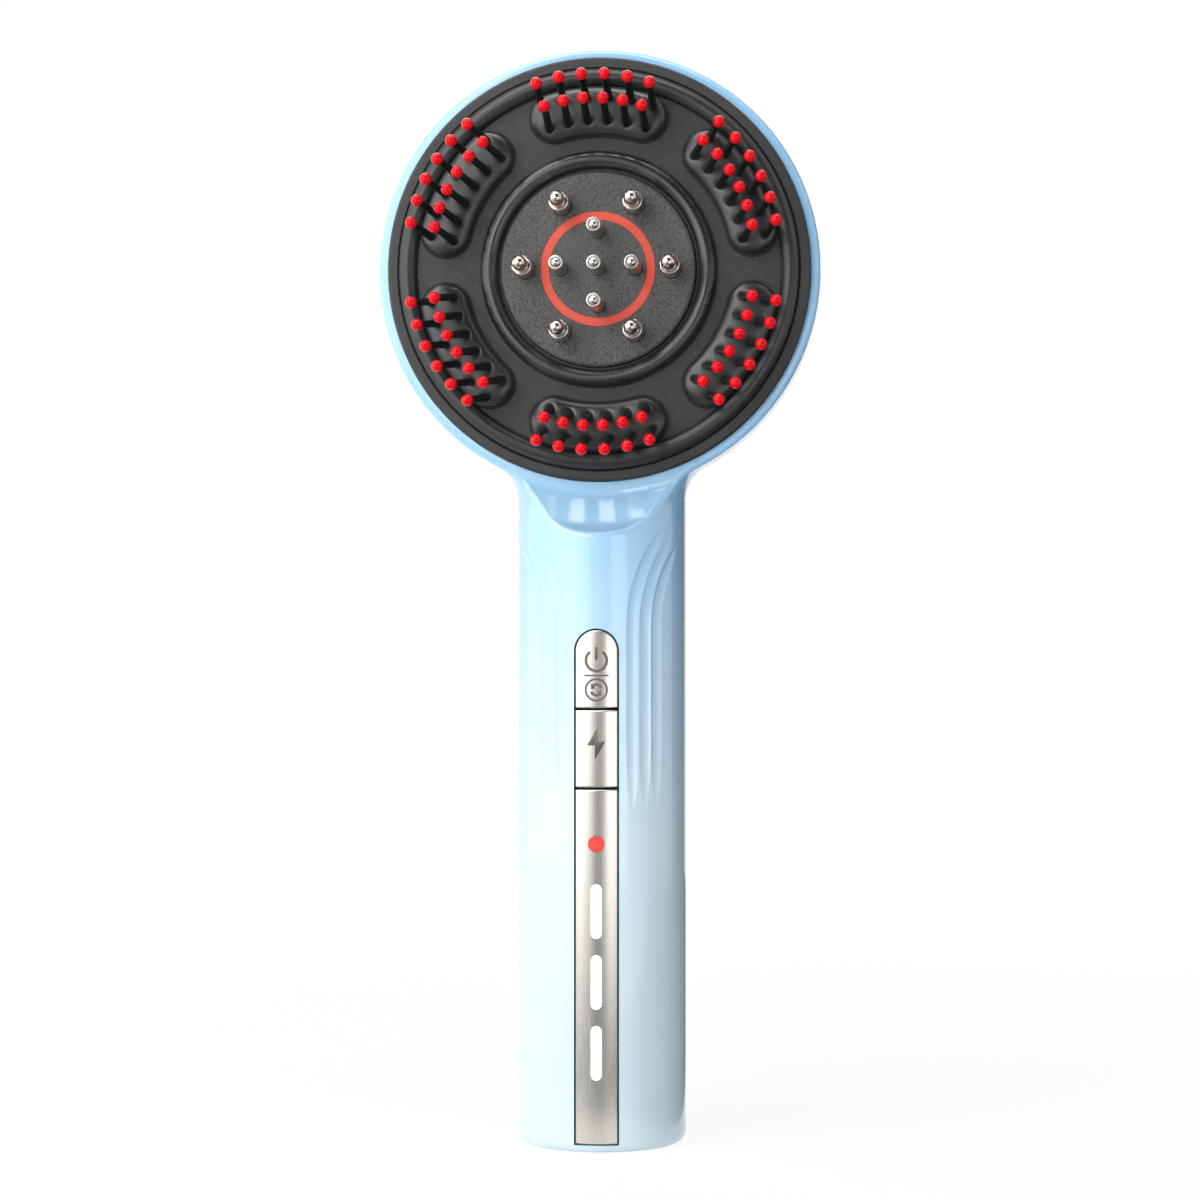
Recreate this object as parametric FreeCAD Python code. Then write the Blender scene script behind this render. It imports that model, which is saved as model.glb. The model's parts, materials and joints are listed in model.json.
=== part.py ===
"""Light therapy hair comb: a round tube handle with a round head.

The origin is the middle of the handle's flat foot, +Z runs up the handle, and the comb face looks along -Y.
A level is a distance in front of the handle axis, towards the comb face. Pieces that face the front are drawn
lying down, with their axis along +Z and their levels as heights, and are then stood up by facing_front().
All sizes are millimetres and all angles are degrees.
"""
import FreeCAD, Part
import math
import os

Vector = FreeCAD.Vector
ORIGIN = Vector(0, 0, 0)
X_AXIS = Vector(1, 0, 0)
Y_AXIS = Vector(0, 1, 0)
Z_AXIS = Vector(0, 0, 1)
FULL_TURN = 360.0
HALF_TURN = 180.0
QUARTER_TURN = 90.0

# Casing
HANDLE_RADIUS = 15.9
FOOT_ROUND = 2.0
CASE_WALL = 1.9
FLOOR_THICKNESS = 1.5
HEAD_FRONT = 9.3
CROWN_RISE = 0.6
CROWN_FLAT = 0.8
HEAD_SIDE_REAR = 3.0
HEAD_EDGE_ROUND = 9.0
NECK_ROUND = 7.2
NECK_OVERLAP = 5.5
SCOOP_STEP = 0.9
SCOOP_HEAD_COVE = 3.0
SCOOP_FLOOR_ANGLE = 35.0
SCOOP_FLOOR_SHARE = 0.5
SCOOP_LIP_COVE = 5.4
SCOOP_LIP_ANGLE = 78.0
RIM_EDGE_ROUND = 1.2
SEAM_TONGUE = 1.2
SEAM_GAP = 0.08
SEAM_CHAMFER = 0.2

# Grip flutes on both sides of the handle
FLUTE_COUNT = 3
FLUTE_FIRST_ANGLE = 24.8
FLUTE_PITCH = 2.6
FLUTE_DEPTH = 0.33
FLUTE_CUTTER = 3.0
FLUTE_STRAIGHT = 21.0
FLUTE_FOOT_RUN = 16.0
FLUTE_TO_HEAD = 25.2
FLUTE_BEND_RADIUS = 26.7
FLUTE_BEND_ANGLE = 47.0
FLUTE_BEND_ARCS = 4
FLUTE_LIFT = 0.5
FLUTE_FADE = 4

# Centre disc, light ring and dispenser, from the middle outwards
FIT_GAP = 0.05
RING_RADIUS = 10.7
RING_WIDTH = 1.55
RING_PROUD = 0.03
RING_TO_SLEEVE = 1.1
RING_FOOT_GAP = 0.3
DISC_MARGIN = 2.7
DISC_RISE = 2.5
DISC_EDGE_ROUND = 0.8
DISC_GAP = 0.15
DISC_FLANGE_WIDTH = 2.2
CAP_THICKNESS = 4.0
NOZZLE_RING_COUNT = 4
NOZZLE_MARGIN = 0.83
NOZZLE_RADIUS = 1.37
NOZZLE_HEIGHT = 12.0
NOZZLE_SEAT_DEPTH = 2.5
NOZZLE_EDGE_ROUND = 0.18
NOZZLE_CHANNEL = 0.6
CHANNEL_INSET = 0.8
BALL_RADIUS = 1.1
BALL_MOUTH = 0.98
RESERVOIR_WALL = 1.9
RESERVOIR_GAP = 0.2
RESERVOIR_DEPTH = 15.8
RESERVOIR_FLOOR = 1.2
RESERVOIR_SEAT_RADIUS = 5.0
SEAL_WIDTH = 0.9
SEAL_DEPTH = 0.8
SEAL_GAP = 0.02

# Sprung electrodes
ELECTRODE_COUNT = 6
SLEEVE_RADIUS = 1.9
SLEEVE_HEIGHT = 7.0
SLEEVE_EDGE_ROUND = 0.3
SLEEVE_FLOOR = 0.6
SLEEVE_LIP = 0.8
PLUNGER_RADIUS = 1.375
PLUNGER_HEIGHT = 13.4
PLUNGER_FIT = 0.045
COLLAR_WIDTH = 0.2
COLLAR_HEIGHT = 1.2
COLLAR_GAP = 0.1
SPRING_WIRE = 0.4
SPRING_GAP = 0.15

# Cushions, bristles and ball tips
GROUP_COUNT = 6
CUSHION_HALF_WIDTH = 4.7
CUSHION_HEIGHT = 3.0
CUSHION_ROUND = 2.4
CUSHION_END_GAP = 0.25
FLANGE_WIDTH = 0.5
FLANGE_THICKNESS = 1.0
SEAT_GAP = 0.1
ROW_COUNT = 2
ROW_SPACING = 4.4
ROW_OFFSET = 0.175
BRISTLES_PER_ROW = 6
BRISTLE_PITCH = 7.6
BRISTLE_LEAN = 12.0
BRISTLE_ROOT_RADIUS = 0.9
BRISTLE_TIP_RADIUS = 0.6
BRISTLE_HOLE_GAP = 0.06
BRISTLE_REACH = 15.7
TIP_RADIUS = 1.12

# Face plate and its round beads
BEAD_TO_DISC = 0.45
INNER_BEAD_WIDTH = 3.5
INNER_BEAD_HEIGHT = 2.1
INNER_BEAD_FOOT = 1.2
INNER_BEAD_FOOT_DEPTH = 0.8
INNER_BEAD_FOOT_GAP = 0.02
FLOOR_STRIP_WIDTH = 2.55
OUTER_BEAD_WIDTH = 3.4
OUTER_BEAD_HEIGHT = 2.0
BEAD_CREASE = 0.3
FACE_BAND_WIDTH = 2.1
FACE_FLOOR_RISE = 1.0
FACE_BAND_RISE = 1.5
FACE_EDGE_ROUND = 0.5
FACE_GAP = 0.1
RIM_WIDTH = 1.7
LEDGE_DEPTH = 2.0
LEDGE_THICKNESS = 1.8
LEDGE_WIDTH = 2.8

# Plate and light board behind the face
BACKING_THICKNESS = 1.6
BACKING_GAP = 1.1
BACKING_HOLE_GAP = 0.9
LUG_CLEARANCE = 0.3
HEAD_BOARD_THICKNESS = 1.0
HEAD_BOARD_OVERLAP = 2.5
HEAD_BOARD_GAP = 0.4
RED_LED_COUNT = 12
RED_LED_INSET = 0.9
RED_LED_DEPTH = 1.0
RED_LED_WIDTH = 1.8
LED_HEIGHT = 0.7
LED_GAP = 0.1

# Screws
SMALL_SHANK_RADIUS = 0.9
SMALL_SHANK_LENGTH = 3.2
SMALL_HEAD_RADIUS = 1.7
SMALL_HEAD_HEIGHT = 1.2
CASE_SHANK_RADIUS = 1.0
CASE_SHANK_LENGTH = 11.0
CASE_HEAD_RADIUS = 1.8
CASE_HEAD_HEIGHT = 1.3
SCREW_FIT = 0.02
SCREW_PASS = 0.15
SCREW_TIP_ROOM = 0.2
DRIVE_RADIUS = 0.7
DRIVE_DEPTH = 0.7
PLATE_BOSS_RADIUS = 1.6
CASE_LUG_RADIUS = 2.6
CASE_LUG_INSET = 2.4
CASE_SCREW_ANGLES = (0.0, 60.0, 120.0, 180.0)
HEAD_BOARD_SCREW_ANGLES = (90.0, 210.0, 330.0)
HEAD_BOARD_SCREW_INSET = 1.25

# Control strip on the front of the handle
STRIP_WIDTH = 7.8
STRIP_GAP = 0.3
STRIP_CROWN = 10.0
STRIP_PROUD = 0.25
STRIP_DEPTH = 1.7
STRIP_EDGE_ROUND = 0.25
STRIP_FOOT = 1.8
PANEL_LENGTH = 65.8
PULSE_LENGTH = 14.35
POWER_LENGTH = 14.45
STRIP_TO_HEAD = 26.0
BUTTON_SPLIT = 0.4
WING_WIDTH = 2.1
WING_THICKNESS = 2.15
WING_INSET = 1.2
BUTTON_WING_GAP = 0.25
PANEL_WING_GAP = 0.05
BUTTON_TRAVEL = 0.6
POST_RADIUS = 1.4
STEM_RADIUS = 1.0
STEM_REST = 0.1
STEM_DEPTH = 0.7
STEM_FIT = 0.1
SWITCH_SIDE = 5.0
SWITCH_HEIGHT = 1.6
LENS_DROP = 10.1
LENS_RADIUS = 1.5
BAR_DROP = 7.5
BAR_LENGTH = 10.0
BAR_WIDTH = 1.95
BAR_PITCH = 13.15
BAR_TO_SCREW = 0.5
LIGHT_PROUD = 0.05
LIGHT_GAP = 0.3

# Main board, charging socket and battery
BOARD_ROOM = 5.0
BOARD_THICKNESS = 1.0
BOARD_SIDE_GAP = 1.2
BOARD_FOOT = 3.0
BOARD_MARGIN = 4.5
COLUMN_RADIUS = 2.2
UPPER_COLUMN_OFFSET = 5.3
LOWER_COLUMN_OFFSET = 3.3
CHIP_SIDE = 2.0
CONTROL_CHIP_SIDE = 6.0
CONTROL_CHIP_HEIGHT = 1.2
SOCKET_WIDTH = 8.94
SOCKET_DEPTH = 3.16
SOCKET_WALL = 0.3
SOCKET_LENGTH = 7.3
SOCKET_INSET = 0.4
SOCKET_BACK = 1.4
SOCKET_GAP = 0.1
TONGUE_WIDTH = 6.7
TONGUE_THICKNESS = 0.7
TONGUE_LENGTH = 4.4
BATTERY_GAP = 3.8
BATTERY_END_GAP = 10.875
BATTERY_WALL_GAP = 0.9
BATTERY_BOARD_GAP = 2.7
BATTERY_EDGE_ROUND = 0.8
TAB_WIDTH = 5.0
TAB_THICKNESS = 0.3
TAB_REACH = 4.0
RIB_COUNT = 3
RIB_END_INSET = 10.0
RIB_THICKNESS = 2.0
RIB_FRONT = 1.0

# Vibration motor in the neck
MOTOR_RADIUS = 6.0
MOTOR_LENGTH = 14.0
MOTOR_GAP = 1.5
MOTOR_BACK = 3.0
MOTOR_EDGE_ROUND = 0.6
SHAFT_RADIUS = 0.75
SHAFT_FIT = 0.05
SHAFT_PRESS = 0.01
SHAFT_SEAT = 3.0
SHAFT_END_GAP = 0.2
WEIGHT_RADIUS = 5.5
WEIGHT_HUB = 1.8
WEIGHT_THICKNESS = 6.0
WEIGHT_GAP = 1.0
BRACKET_INSET = 2.0
BRACKET_HEIGHT = 9.0
BRACKET_ARM = 2.0
BRACKET_GRIP = 3.0
LEAD_RADIUS = 0.45
LEAD_GAP = 0.35
LEAD_DROP = 3.0
LEAD_BEND = 2.0
RIBBON_WIDTH = 4.4
RIBBON_THICKNESS = 0.3
RIBBON_TOP_DROP = 12.7
RIBBON_BEND_DROP = 36.7
RIBBON_BEND_RISE = 4.5
RIBBON_SEAT = 1.8

# Radii on the head, worked out from the middle outwards
RING_INNER = RING_RADIUS - RING_WIDTH
CAP_RADIUS = RING_INNER - FIT_GAP
NOZZLE_CIRCLE = RING_INNER - NOZZLE_MARGIN - NOZZLE_RADIUS
RESERVOIR_RADIUS = CAP_RADIUS - RESERVOIR_GAP
ELECTRODE_CIRCLE = RING_RADIUS + RING_TO_SLEEVE + SLEEVE_RADIUS
DISC_RADIUS = ELECTRODE_CIRCLE + SLEEVE_RADIUS + DISC_MARGIN
INNER_BEAD_START = DISC_RADIUS + BEAD_TO_DISC
INNER_BEAD_END = INNER_BEAD_START + INNER_BEAD_WIDTH
CUSHION_RADIUS = INNER_BEAD_END + FLOOR_STRIP_WIDTH + CUSHION_HALF_WIDTH
OUTER_BEAD_START = CUSHION_RADIUS + CUSHION_HALF_WIDTH
OUTER_BEAD_END = OUTER_BEAD_START + OUTER_BEAD_WIDTH
FACE_RADIUS = OUTER_BEAD_END + FACE_BAND_WIDTH
FACE_OPENING = FACE_RADIUS + FACE_GAP
HEAD_RADIUS = FACE_OPENING + RIM_WIDTH
LEDGE_RADIUS = FACE_OPENING - LEDGE_WIDTH
CASE_SCREW_CIRCLE = HEAD_RADIUS - CASE_WALL - CASE_LUG_INSET
BACKING_HOLE = ELECTRODE_CIRCLE + SLEEVE_RADIUS + BACKING_HOLE_GAP
HEAD_BOARD_RADIUS = BACKING_HOLE + HEAD_BOARD_OVERLAP
HEAD_BOARD_HOLE = RESERVOIR_RADIUS + HEAD_BOARD_GAP
RED_LED_CIRCLE = HEAD_BOARD_HOLE + RED_LED_INSET
HEAD_BOARD_SCREW_CIRCLE = HEAD_BOARD_RADIUS - HEAD_BOARD_SCREW_INSET

# Angles of the groups on the face
GROUP_STEP = FULL_TURN / GROUP_COUNT
CUSHION_END_REACH = CUSHION_HALF_WIDTH + FLANGE_WIDTH + PLATE_BOSS_RADIUS + CUSHION_END_GAP
CUSHION_HALF_ANGLE = GROUP_STEP / 2 - math.degrees(2 * math.asin(CUSHION_END_REACH / (2 * CUSHION_RADIUS)))
GROUP_ANGLES = [QUARTER_TURN - GROUP_STEP * group for group in range(GROUP_COUNT)]
PLATE_SCREW_ANGLES = [angle + GROUP_STEP / 2 for angle in GROUP_ANGLES]
ELECTRODE_ANGLES = [FULL_TURN / ELECTRODE_COUNT * index for index in range(ELECTRODE_COUNT)]

# Levels on the head, in front of the handle axis
HEAD_REAR = HANDLE_RADIUS + CROWN_RISE
LEDGE = HEAD_FRONT - LEDGE_DEPTH
LEDGE_REAR = LEDGE - LEDGE_THICKNESS
FACE_FLOOR = HEAD_FRONT + FACE_FLOOR_RISE
FACE_BAND = HEAD_FRONT + FACE_BAND_RISE
DISC_FRONT = HEAD_FRONT + DISC_RISE
FLANGE_REAR = LEDGE - FLANGE_THICKNESS
BACKING_REAR = FLANGE_REAR - BACKING_THICKNESS
HEAD_BOARD_REAR = BACKING_REAR - HEAD_BOARD_THICKNESS
CUSHION_TOP = FACE_FLOOR + CUSHION_HEIGHT
TIP_LEVEL = HEAD_FRONT + BRISTLE_REACH
CAP_REAR = DISC_FRONT - CAP_THICKNESS
RESERVOIR_REAR = CAP_REAR - RESERVOIR_DEPTH
NOZZLE_FOOT = DISC_FRONT - NOZZLE_SEAT_DEPTH
NOZZLE_TOP = DISC_FRONT + NOZZLE_HEIGHT
BALL_SOCKET = BALL_RADIUS + FIT_GAP
BALL_LEVEL = NOZZLE_TOP - math.sqrt(BALL_SOCKET ** 2 - BALL_MOUTH ** 2)
SLEEVE_TOP = DISC_FRONT + SLEEVE_HEIGHT
PLUNGER_TIP = DISC_FRONT + PLUNGER_HEIGHT
COLLAR_TOP = SLEEVE_TOP - SLEEVE_LIP - COLLAR_GAP
COLLAR_FOOT = COLLAR_TOP - COLLAR_HEIGHT
COLLAR_RADIUS = PLUNGER_RADIUS + COLLAR_WIDTH
SLEEVE_BORE = COLLAR_RADIUS + PLUNGER_FIT
SPRING_FOOT = BACKING_REAR + SLEEVE_FLOOR

# Levels in the handle, in front of its axis
HANDLE_BORE = HANDLE_RADIUS - CASE_WALL
SLOT_HALF_WIDTH = STRIP_WIDTH / 2 + STRIP_GAP
STRIP_REAR = HANDLE_BORE - STRIP_DEPTH
STRIP_AXIS = HANDLE_RADIUS + STRIP_PROUD - STRIP_CROWN
BOARD_FRONT = HANDLE_BORE - BOARD_ROOM
BOARD_REAR = BOARD_FRONT - BOARD_THICKNESS
BOARD_HALF_WIDTH = math.sqrt(HANDLE_BORE ** 2 - BOARD_FRONT ** 2) - BOARD_SIDE_GAP
SWITCH_TOP = BOARD_FRONT + SWITCH_HEIGHT
STEM_TOP = SWITCH_TOP + BUTTON_TRAVEL + STEM_REST
STEM_FOOT = SWITCH_TOP - STEM_DEPTH
LIGHT_REAR = BOARD_FRONT + LED_HEIGHT + LIGHT_GAP
SOCKET_LEVEL = BOARD_FRONT + SOCKET_DEPTH / 2
BATTERY_RADIUS = (HANDLE_BORE - BATTERY_WALL_GAP + BOARD_REAR - BATTERY_BOARD_GAP) / 2
BATTERY_LEVEL = BATTERY_RADIUS + BATTERY_WALL_GAP - HANDLE_BORE

# Heights in the handle
PANEL_TOP = STRIP_FOOT + PANEL_LENGTH
PULSE_FOOT = PANEL_TOP + BUTTON_SPLIT
PULSE_TOP = PULSE_FOOT + PULSE_LENGTH
POWER_FOOT = PULSE_TOP + BUTTON_SPLIT
STRIP_TOP = POWER_FOOT + POWER_LENGTH
HEAD_HEIGHT = STRIP_TOP + STRIP_TO_HEAD + HEAD_RADIUS
PULSE_MIDDLE = (PULSE_FOOT + PULSE_TOP) / 2
POWER_MIDDLE = (POWER_FOOT + STRIP_TOP) / 2
SOCKET_TOP = SOCKET_INSET + SOCKET_LENGTH
UPPER_COLUMN = POWER_MIDDLE + UPPER_COLUMN_OFFSET
LOWER_COLUMN = SOCKET_TOP + LOWER_COLUMN_OFFSET
LENS_HEIGHT = PANEL_TOP - LENS_DROP
BAR_START = LENS_HEIGHT - BAR_DROP
BAR_ROOM = BAR_START - LOWER_COLUMN - SMALL_HEAD_RADIUS - BAR_TO_SCREW
BAR_COUNT = 1 + math.floor((BAR_ROOM - BAR_LENGTH) / BAR_PITCH)
BAR_HEIGHTS = [BAR_START - BAR_LENGTH / 2 - BAR_PITCH * index for index in range(BAR_COUNT)]
BOARD_TOP = UPPER_COLUMN + BOARD_MARGIN
BATTERY_FOOT = LOWER_COLUMN + COLUMN_RADIUS + BATTERY_GAP
BATTERY_TOP = UPPER_COLUMN - COLUMN_RADIUS - BATTERY_END_GAP
BATTERY_LENGTH = BATTERY_TOP - BATTERY_FOOT
MOTOR_FOOT = BOARD_TOP + MOTOR_GAP
MOTOR_TOP = MOTOR_FOOT + MOTOR_LENGTH
WEIGHT_FOOT = MOTOR_TOP + WEIGHT_GAP
WEIGHT_TOP = WEIGHT_FOOT + WEIGHT_THICKNESS
NECK_TOP = HEAD_HEIGHT - HEAD_RADIUS + NECK_OVERLAP
FLUTE_BEND_START = HEAD_HEIGHT - HEAD_RADIUS - FLUTE_TO_HEAD
FLUTE_SUNK = FLUTE_BEND_START - FLUTE_STRAIGHT
FLUTE_FOOT = FLUTE_SUNK - FLUTE_FOOT_RUN
FAR = 2 * (HEAD_HEIGHT + HEAD_RADIUS)


# Drawing helpers


def facing_front(shape, height):
    """Stand a piece up: its +Z axis turns to face -Y and its middle rises to a height."""
    placed = shape.copy()
    placed.rotate(ORIGIN, X_AXIS, QUARTER_TURN)
    placed.translate(Vector(0, 0, height))
    return placed


def on_head(shape):
    return facing_front(shape, HEAD_HEIGHT)


def turned(shape, angle):
    """A copy turned about +Z."""
    copy = shape.copy()
    copy.rotate(ORIGIN, Z_AXIS, angle)
    return copy


def moved(shape, offset):
    copy = shape.copy()
    copy.translate(offset)
    return copy


def flipped(shape):
    """A copy turned over, so that its +Z end points along -Z."""
    copy = shape.copy()
    copy.rotate(ORIGIN, X_AXIS, HALF_TURN)
    return copy


def polar(radius, angle, height=0.0):
    """The point at a radius and an angle about +Z."""
    bearing = math.radians(angle)
    return Vector(radius * math.cos(bearing), radius * math.sin(bearing), height)


def line(start, end):
    return Part.LineSegment(start, end).toShape()


def arc(start, middle, end):
    return Part.Arc(start, middle, end).toShape()


def tangent_arc(start, direction, end):
    """The arc that leaves a start along a direction and reaches an end: its middle and its last direction."""
    chord = end - start
    sideways = (chord - direction * chord.dot(direction)).normalize()
    radius = chord.dot(chord) / (2 * chord.dot(sideways))
    turn = 2 * math.atan2(chord.dot(sideways), chord.dot(direction))
    middle = start + sideways * (radius * (1 - math.cos(turn / 2))) + direction * (radius * math.sin(turn / 2))
    return middle, direction * math.cos(turn) + sideways * math.sin(turn)


def one_solid(shape):
    """The single solid that a boolean left inside a compound."""
    return shape.Solids[0] if len(shape.Solids) == 1 else shape


def joined(shapes):
    return one_solid(shapes[0].fuse(shapes[1:]).removeSplitter())


def group(shapes):
    """Separate solids that share one node."""
    return Part.makeCompound([solid for shape in shapes for solid in shape.Solids])


def upright(radius, bottom, top, centre=ORIGIN):
    """A cylinder along +Z between two heights."""
    return Part.makeCylinder(radius, top - bottom, Vector(centre.x, centre.y, bottom))


def tube(outer, inner, bottom, top):
    return upright(outer, bottom, top).cut(upright(inner, bottom, top))


def forward(radius, rear, front, height, across=0.0):
    """A cylinder that points out of the handle's front, between two levels."""
    return Part.makeCylinder(radius, front - rear, Vector(across, -rear, height), Y_AXIS * -1)


def block(half_width, rear, front, bottom, top):
    """A box centred on X, between two levels and two heights."""
    return Part.makeBox(2 * half_width, front - rear, top - bottom, Vector(-half_width, -front, bottom))


def spun(edges):
    """The solid that a closed outline in the XZ plane sweeps about +Z."""
    return Part.Face(Part.Wire(edges)).revolve(ORIGIN, Z_AXIS, FULL_TURN)


def at(radius, level):
    """A point of an outline that is to be spun."""
    return Vector(radius, 0, level)


def chain(points):
    """Straight edges from point to point."""
    return [line(a, b) for a, b in zip(points, points[1:])]


def touches(point, shape, reach=1e-3):
    vertex = Part.Vertex(point)
    return min(vertex.distToShape(face)[0] for face in shape.Faces) < reach


def edges_on(shape, first, second):
    """The edges of a shape that lie on the surfaces of two other shapes."""
    found = []
    for edge in shape.Edges:
        start, end = edge.ParameterRange
        samples = [edge.valueAt(start + (end - start) * share) for share in (0.2, 0.5, 0.8)]
        if all(touches(point, first) and touches(point, second) for point in samples):
            found.append(edge)
    return found


def level_edges(shape, level):
    """The edges that lie flat at one height."""
    return [e for e in shape.Edges if max(abs(e.BoundBox.ZMin - level), abs(e.BoundBox.ZMax - level)) < FIT_GAP]


def stadium(width, depth, bottom, top):
    """An upright bar with round ends, its width along X."""
    radius = depth / 2
    reach = width / 2 - radius
    middle = Part.makeBox(2 * reach, depth, top - bottom, Vector(-reach, -radius, bottom))
    ends = [upright(radius, bottom, top, Vector(side * reach, 0, 0)) for side in (-1, 1)]
    return joined([middle] + ends)


# Casing


def head_core(inset, front):
    """The head's round body, shrunk by an inset, up to a front level.

    Its rear is a shallow crown with a tiny flat in the middle, so that the surface has no pole.
    """
    reach = HEAD_RADIUS - HEAD_EDGE_ROUND
    drop = HEAD_REAR - HEAD_SIDE_REAR
    crown = (reach ** 2 + drop ** 2 - HEAD_EDGE_ROUND ** 2) / (2 * (drop - HEAD_EDGE_ROUND))
    crown_centre = at(0, crown - HEAD_REAR)
    edge_centre = at(reach, -HEAD_SIDE_REAR)
    edge_radius = HEAD_EDGE_ROUND - inset
    away = (edge_centre - crown_centre).normalize()
    meeting = edge_centre + away * edge_radius
    edge_middle = edge_centre + (away + X_AXIS).normalize() * edge_radius
    crown_middle = crown_centre + (away - Z_AXIS).normalize() * (crown - inset)
    flat_level = crown_centre.z - math.sqrt((crown - inset) ** 2 - CROWN_FLAT ** 2)
    flat_edge = at(CROWN_FLAT, flat_level)
    side = at(HEAD_RADIUS - inset, -HEAD_SIDE_REAR)
    straight = chain([side, at(HEAD_RADIUS - inset, front), at(0, front), at(0, flat_level), flat_edge])
    return spun([arc(flat_edge, crown_middle, meeting), arc(meeting, edge_middle, side)] + straight)


def handle_core(inset, bottom):
    """The handle's tube with a round top end inside the head, shrunk by an inset."""
    radius = HANDLE_RADIUS - inset
    return joined([upright(radius, bottom, NECK_TOP), Part.makeSphere(radius, Vector(0, 0, NECK_TOP))])


def behind_slope(angle):
    """The direction square to a slope of the scoop, out of the room that the scoop takes."""
    return at(math.sin(angle), -math.cos(angle))


def scoop_cutter(inset):
    """What the head's front and the scoop below it take away, grown backwards by an inset.

    The scoop's floor bends out of the head's front, slopes down and forwards, and bends up into a steep lip.
    """
    floor = math.radians(SCOOP_FLOOR_ANGLE)
    lip = math.radians(SCOOP_LIP_ANGLE)
    corner = at(HEAD_RADIUS + SCOOP_STEP, HEAD_FRONT)
    run = SCOOP_FLOOR_SHARE * (HANDLE_RADIUS - HEAD_FRONT) / math.sin(floor)
    floor_end = corner + at(math.cos(floor), math.sin(floor)) * run
    head_centre = corner + at(-math.tan(floor / 2), 1) * SCOOP_HEAD_COVE
    lip_centre = floor_end - behind_slope(floor) * SCOOP_LIP_COVE
    head_reach = SCOOP_HEAD_COVE + inset
    lip_reach = SCOOP_LIP_COVE + inset
    head_cove = [head_centre + behind_slope(angle) * head_reach for angle in (0, floor / 2, floor)]
    lip_cove = [lip_centre + behind_slope(angle) * lip_reach for angle in (floor, (floor + lip) / 2, lip)]
    far_edge = lip_cove[-1] + at(math.cos(lip), math.sin(lip)) * 2 * HANDLE_RADIUS
    middle = at(0, HEAD_FRONT - inset)
    floor_edges = [line(middle, head_cove[0]), arc(*head_cove), line(head_cove[-1], lip_cove[0]), arc(*lip_cove)]
    return spun(floor_edges + chain([lip_cove[-1], far_edge, at(0, far_edge.z), middle]))


def flute_point(girth, height, lift):
    """A point of a flute cutter's path, by its distance round the handle from the front."""
    radius = HANDLE_RADIUS + FLUTE_CUTTER - FLUTE_DEPTH + lift
    bearing = girth / HANDLE_RADIUS
    return Vector(radius * math.sin(bearing), -radius * math.cos(bearing), height)


def flute_cutter(index):
    """One flute: it sinks into the surface at its foot, runs straight up, then bends outwards and fades."""
    girth = math.radians(FLUTE_FIRST_ANGLE) * HANDLE_RADIUS + FLUTE_PITCH * index
    bend = FLUTE_BEND_RADIUS - FLUTE_PITCH * index
    foot = flute_point(girth, FLUTE_FOOT, FLUTE_LIFT)
    sunk = flute_point(girth, FLUTE_SUNK, 0)
    here = flute_point(girth, FLUTE_BEND_START, 0)
    foot_middle, down = tangent_arc(sunk, Z_AXIS * -1, foot)
    path = [arc(foot, foot_middle, sunk), line(sunk, here)]
    heading = Z_AXIS
    for step in range(1, FLUTE_BEND_ARCS + 1):
        share = step / FLUTE_BEND_ARCS
        turn = math.radians(FLUTE_BEND_ANGLE * share)
        onward = girth + bend * (1 - math.cos(turn))
        height = FLUTE_BEND_START + bend * math.sin(turn)
        there = flute_point(onward, height, FLUTE_LIFT * share ** FLUTE_FADE)
        middle, heading = tangent_arc(here, heading, there)
        path.append(arc(here, middle, there))
        here = there
    section = Part.Wire(Part.makeCircle(FLUTE_CUTTER, foot, down * -1))
    return Part.Wire(path).makePipeShell([section], True, False)


def casing_outside():
    """The whole outside of the casing: handle, head, rounded neck, scoop and flutes."""
    handle = handle_core(0, 0)
    head = on_head(head_core(0, HANDLE_RADIUS + NECK_ROUND))
    body = joined([handle, head])
    body = body.makeFillet(NECK_ROUND, edges_on(body, handle, head))
    scoop = on_head(scoop_cutter(0))
    cut = one_solid(body.cut(scoop))
    cut = one_solid(cut.makeFillet(RIM_EDGE_ROUND, edges_on(cut, body, scoop)))
    cut = one_solid(cut.makeFillet(FOOT_ROUND, level_edges(cut, 0)))
    for index in range(FLUTE_COUNT):
        cutter = flute_cutter(index)
        cut = one_solid(cut.cut([cutter, cutter.mirror(ORIGIN, X_AXIS)]))
    return cut


def casing_cavity():
    """The room inside the casing. The head's ledge and the wall behind the scoop stay solid."""
    head = on_head(head_core(CASE_WALL, LEDGE_REAR))
    ledge = upright(HEAD_RADIUS, LEDGE_REAR, HEAD_FRONT)
    kept = on_head(joined([scoop_cutter(CASE_WALL), ledge]))
    return joined([head, handle_core(CASE_WALL, FLOOR_THICKNESS).cut(kept)])


def half_space(front):
    """Everything in front of, or behind, the seam through the handle axis."""
    return Part.makeBox(2 * FAR, FAR, 2 * FAR, Vector(-FAR, -FAR if front else 0, -FAR))


def casing_half(outside, front):
    return one_solid(outside.common(half_space(front)))


def broken_seam(half):
    """The front half with the outer edge of its seam broken, so that the seam shows as a fine groove."""
    seam = [face for face in half.Faces if max(abs(face.BoundBox.YMin), abs(face.BoundBox.YMax)) < FIT_GAP]
    return one_solid(half.makeChamfer(SEAM_CHAMFER, [edge for face in seam for edge in face.Edges]))


def seam_band(inset, depth, cavity):
    """The inner part of the wall, just in front of the seam."""
    core = joined([handle_core(inset, FLOOR_THICKNESS / 2), on_head(head_core(inset, LEDGE_REAR))])
    slab = Part.makeBox(2 * FAR, depth, 2 * FAR, Vector(-FAR, -depth, -FAR))
    return core.common(slab).cut(cavity)


def case_screw_sites(shape):
    """Copies of a piece at the casing's screws."""
    return [moved(shape, polar(CASE_SCREW_CIRCLE, angle)) for angle in CASE_SCREW_ANGLES]


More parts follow.
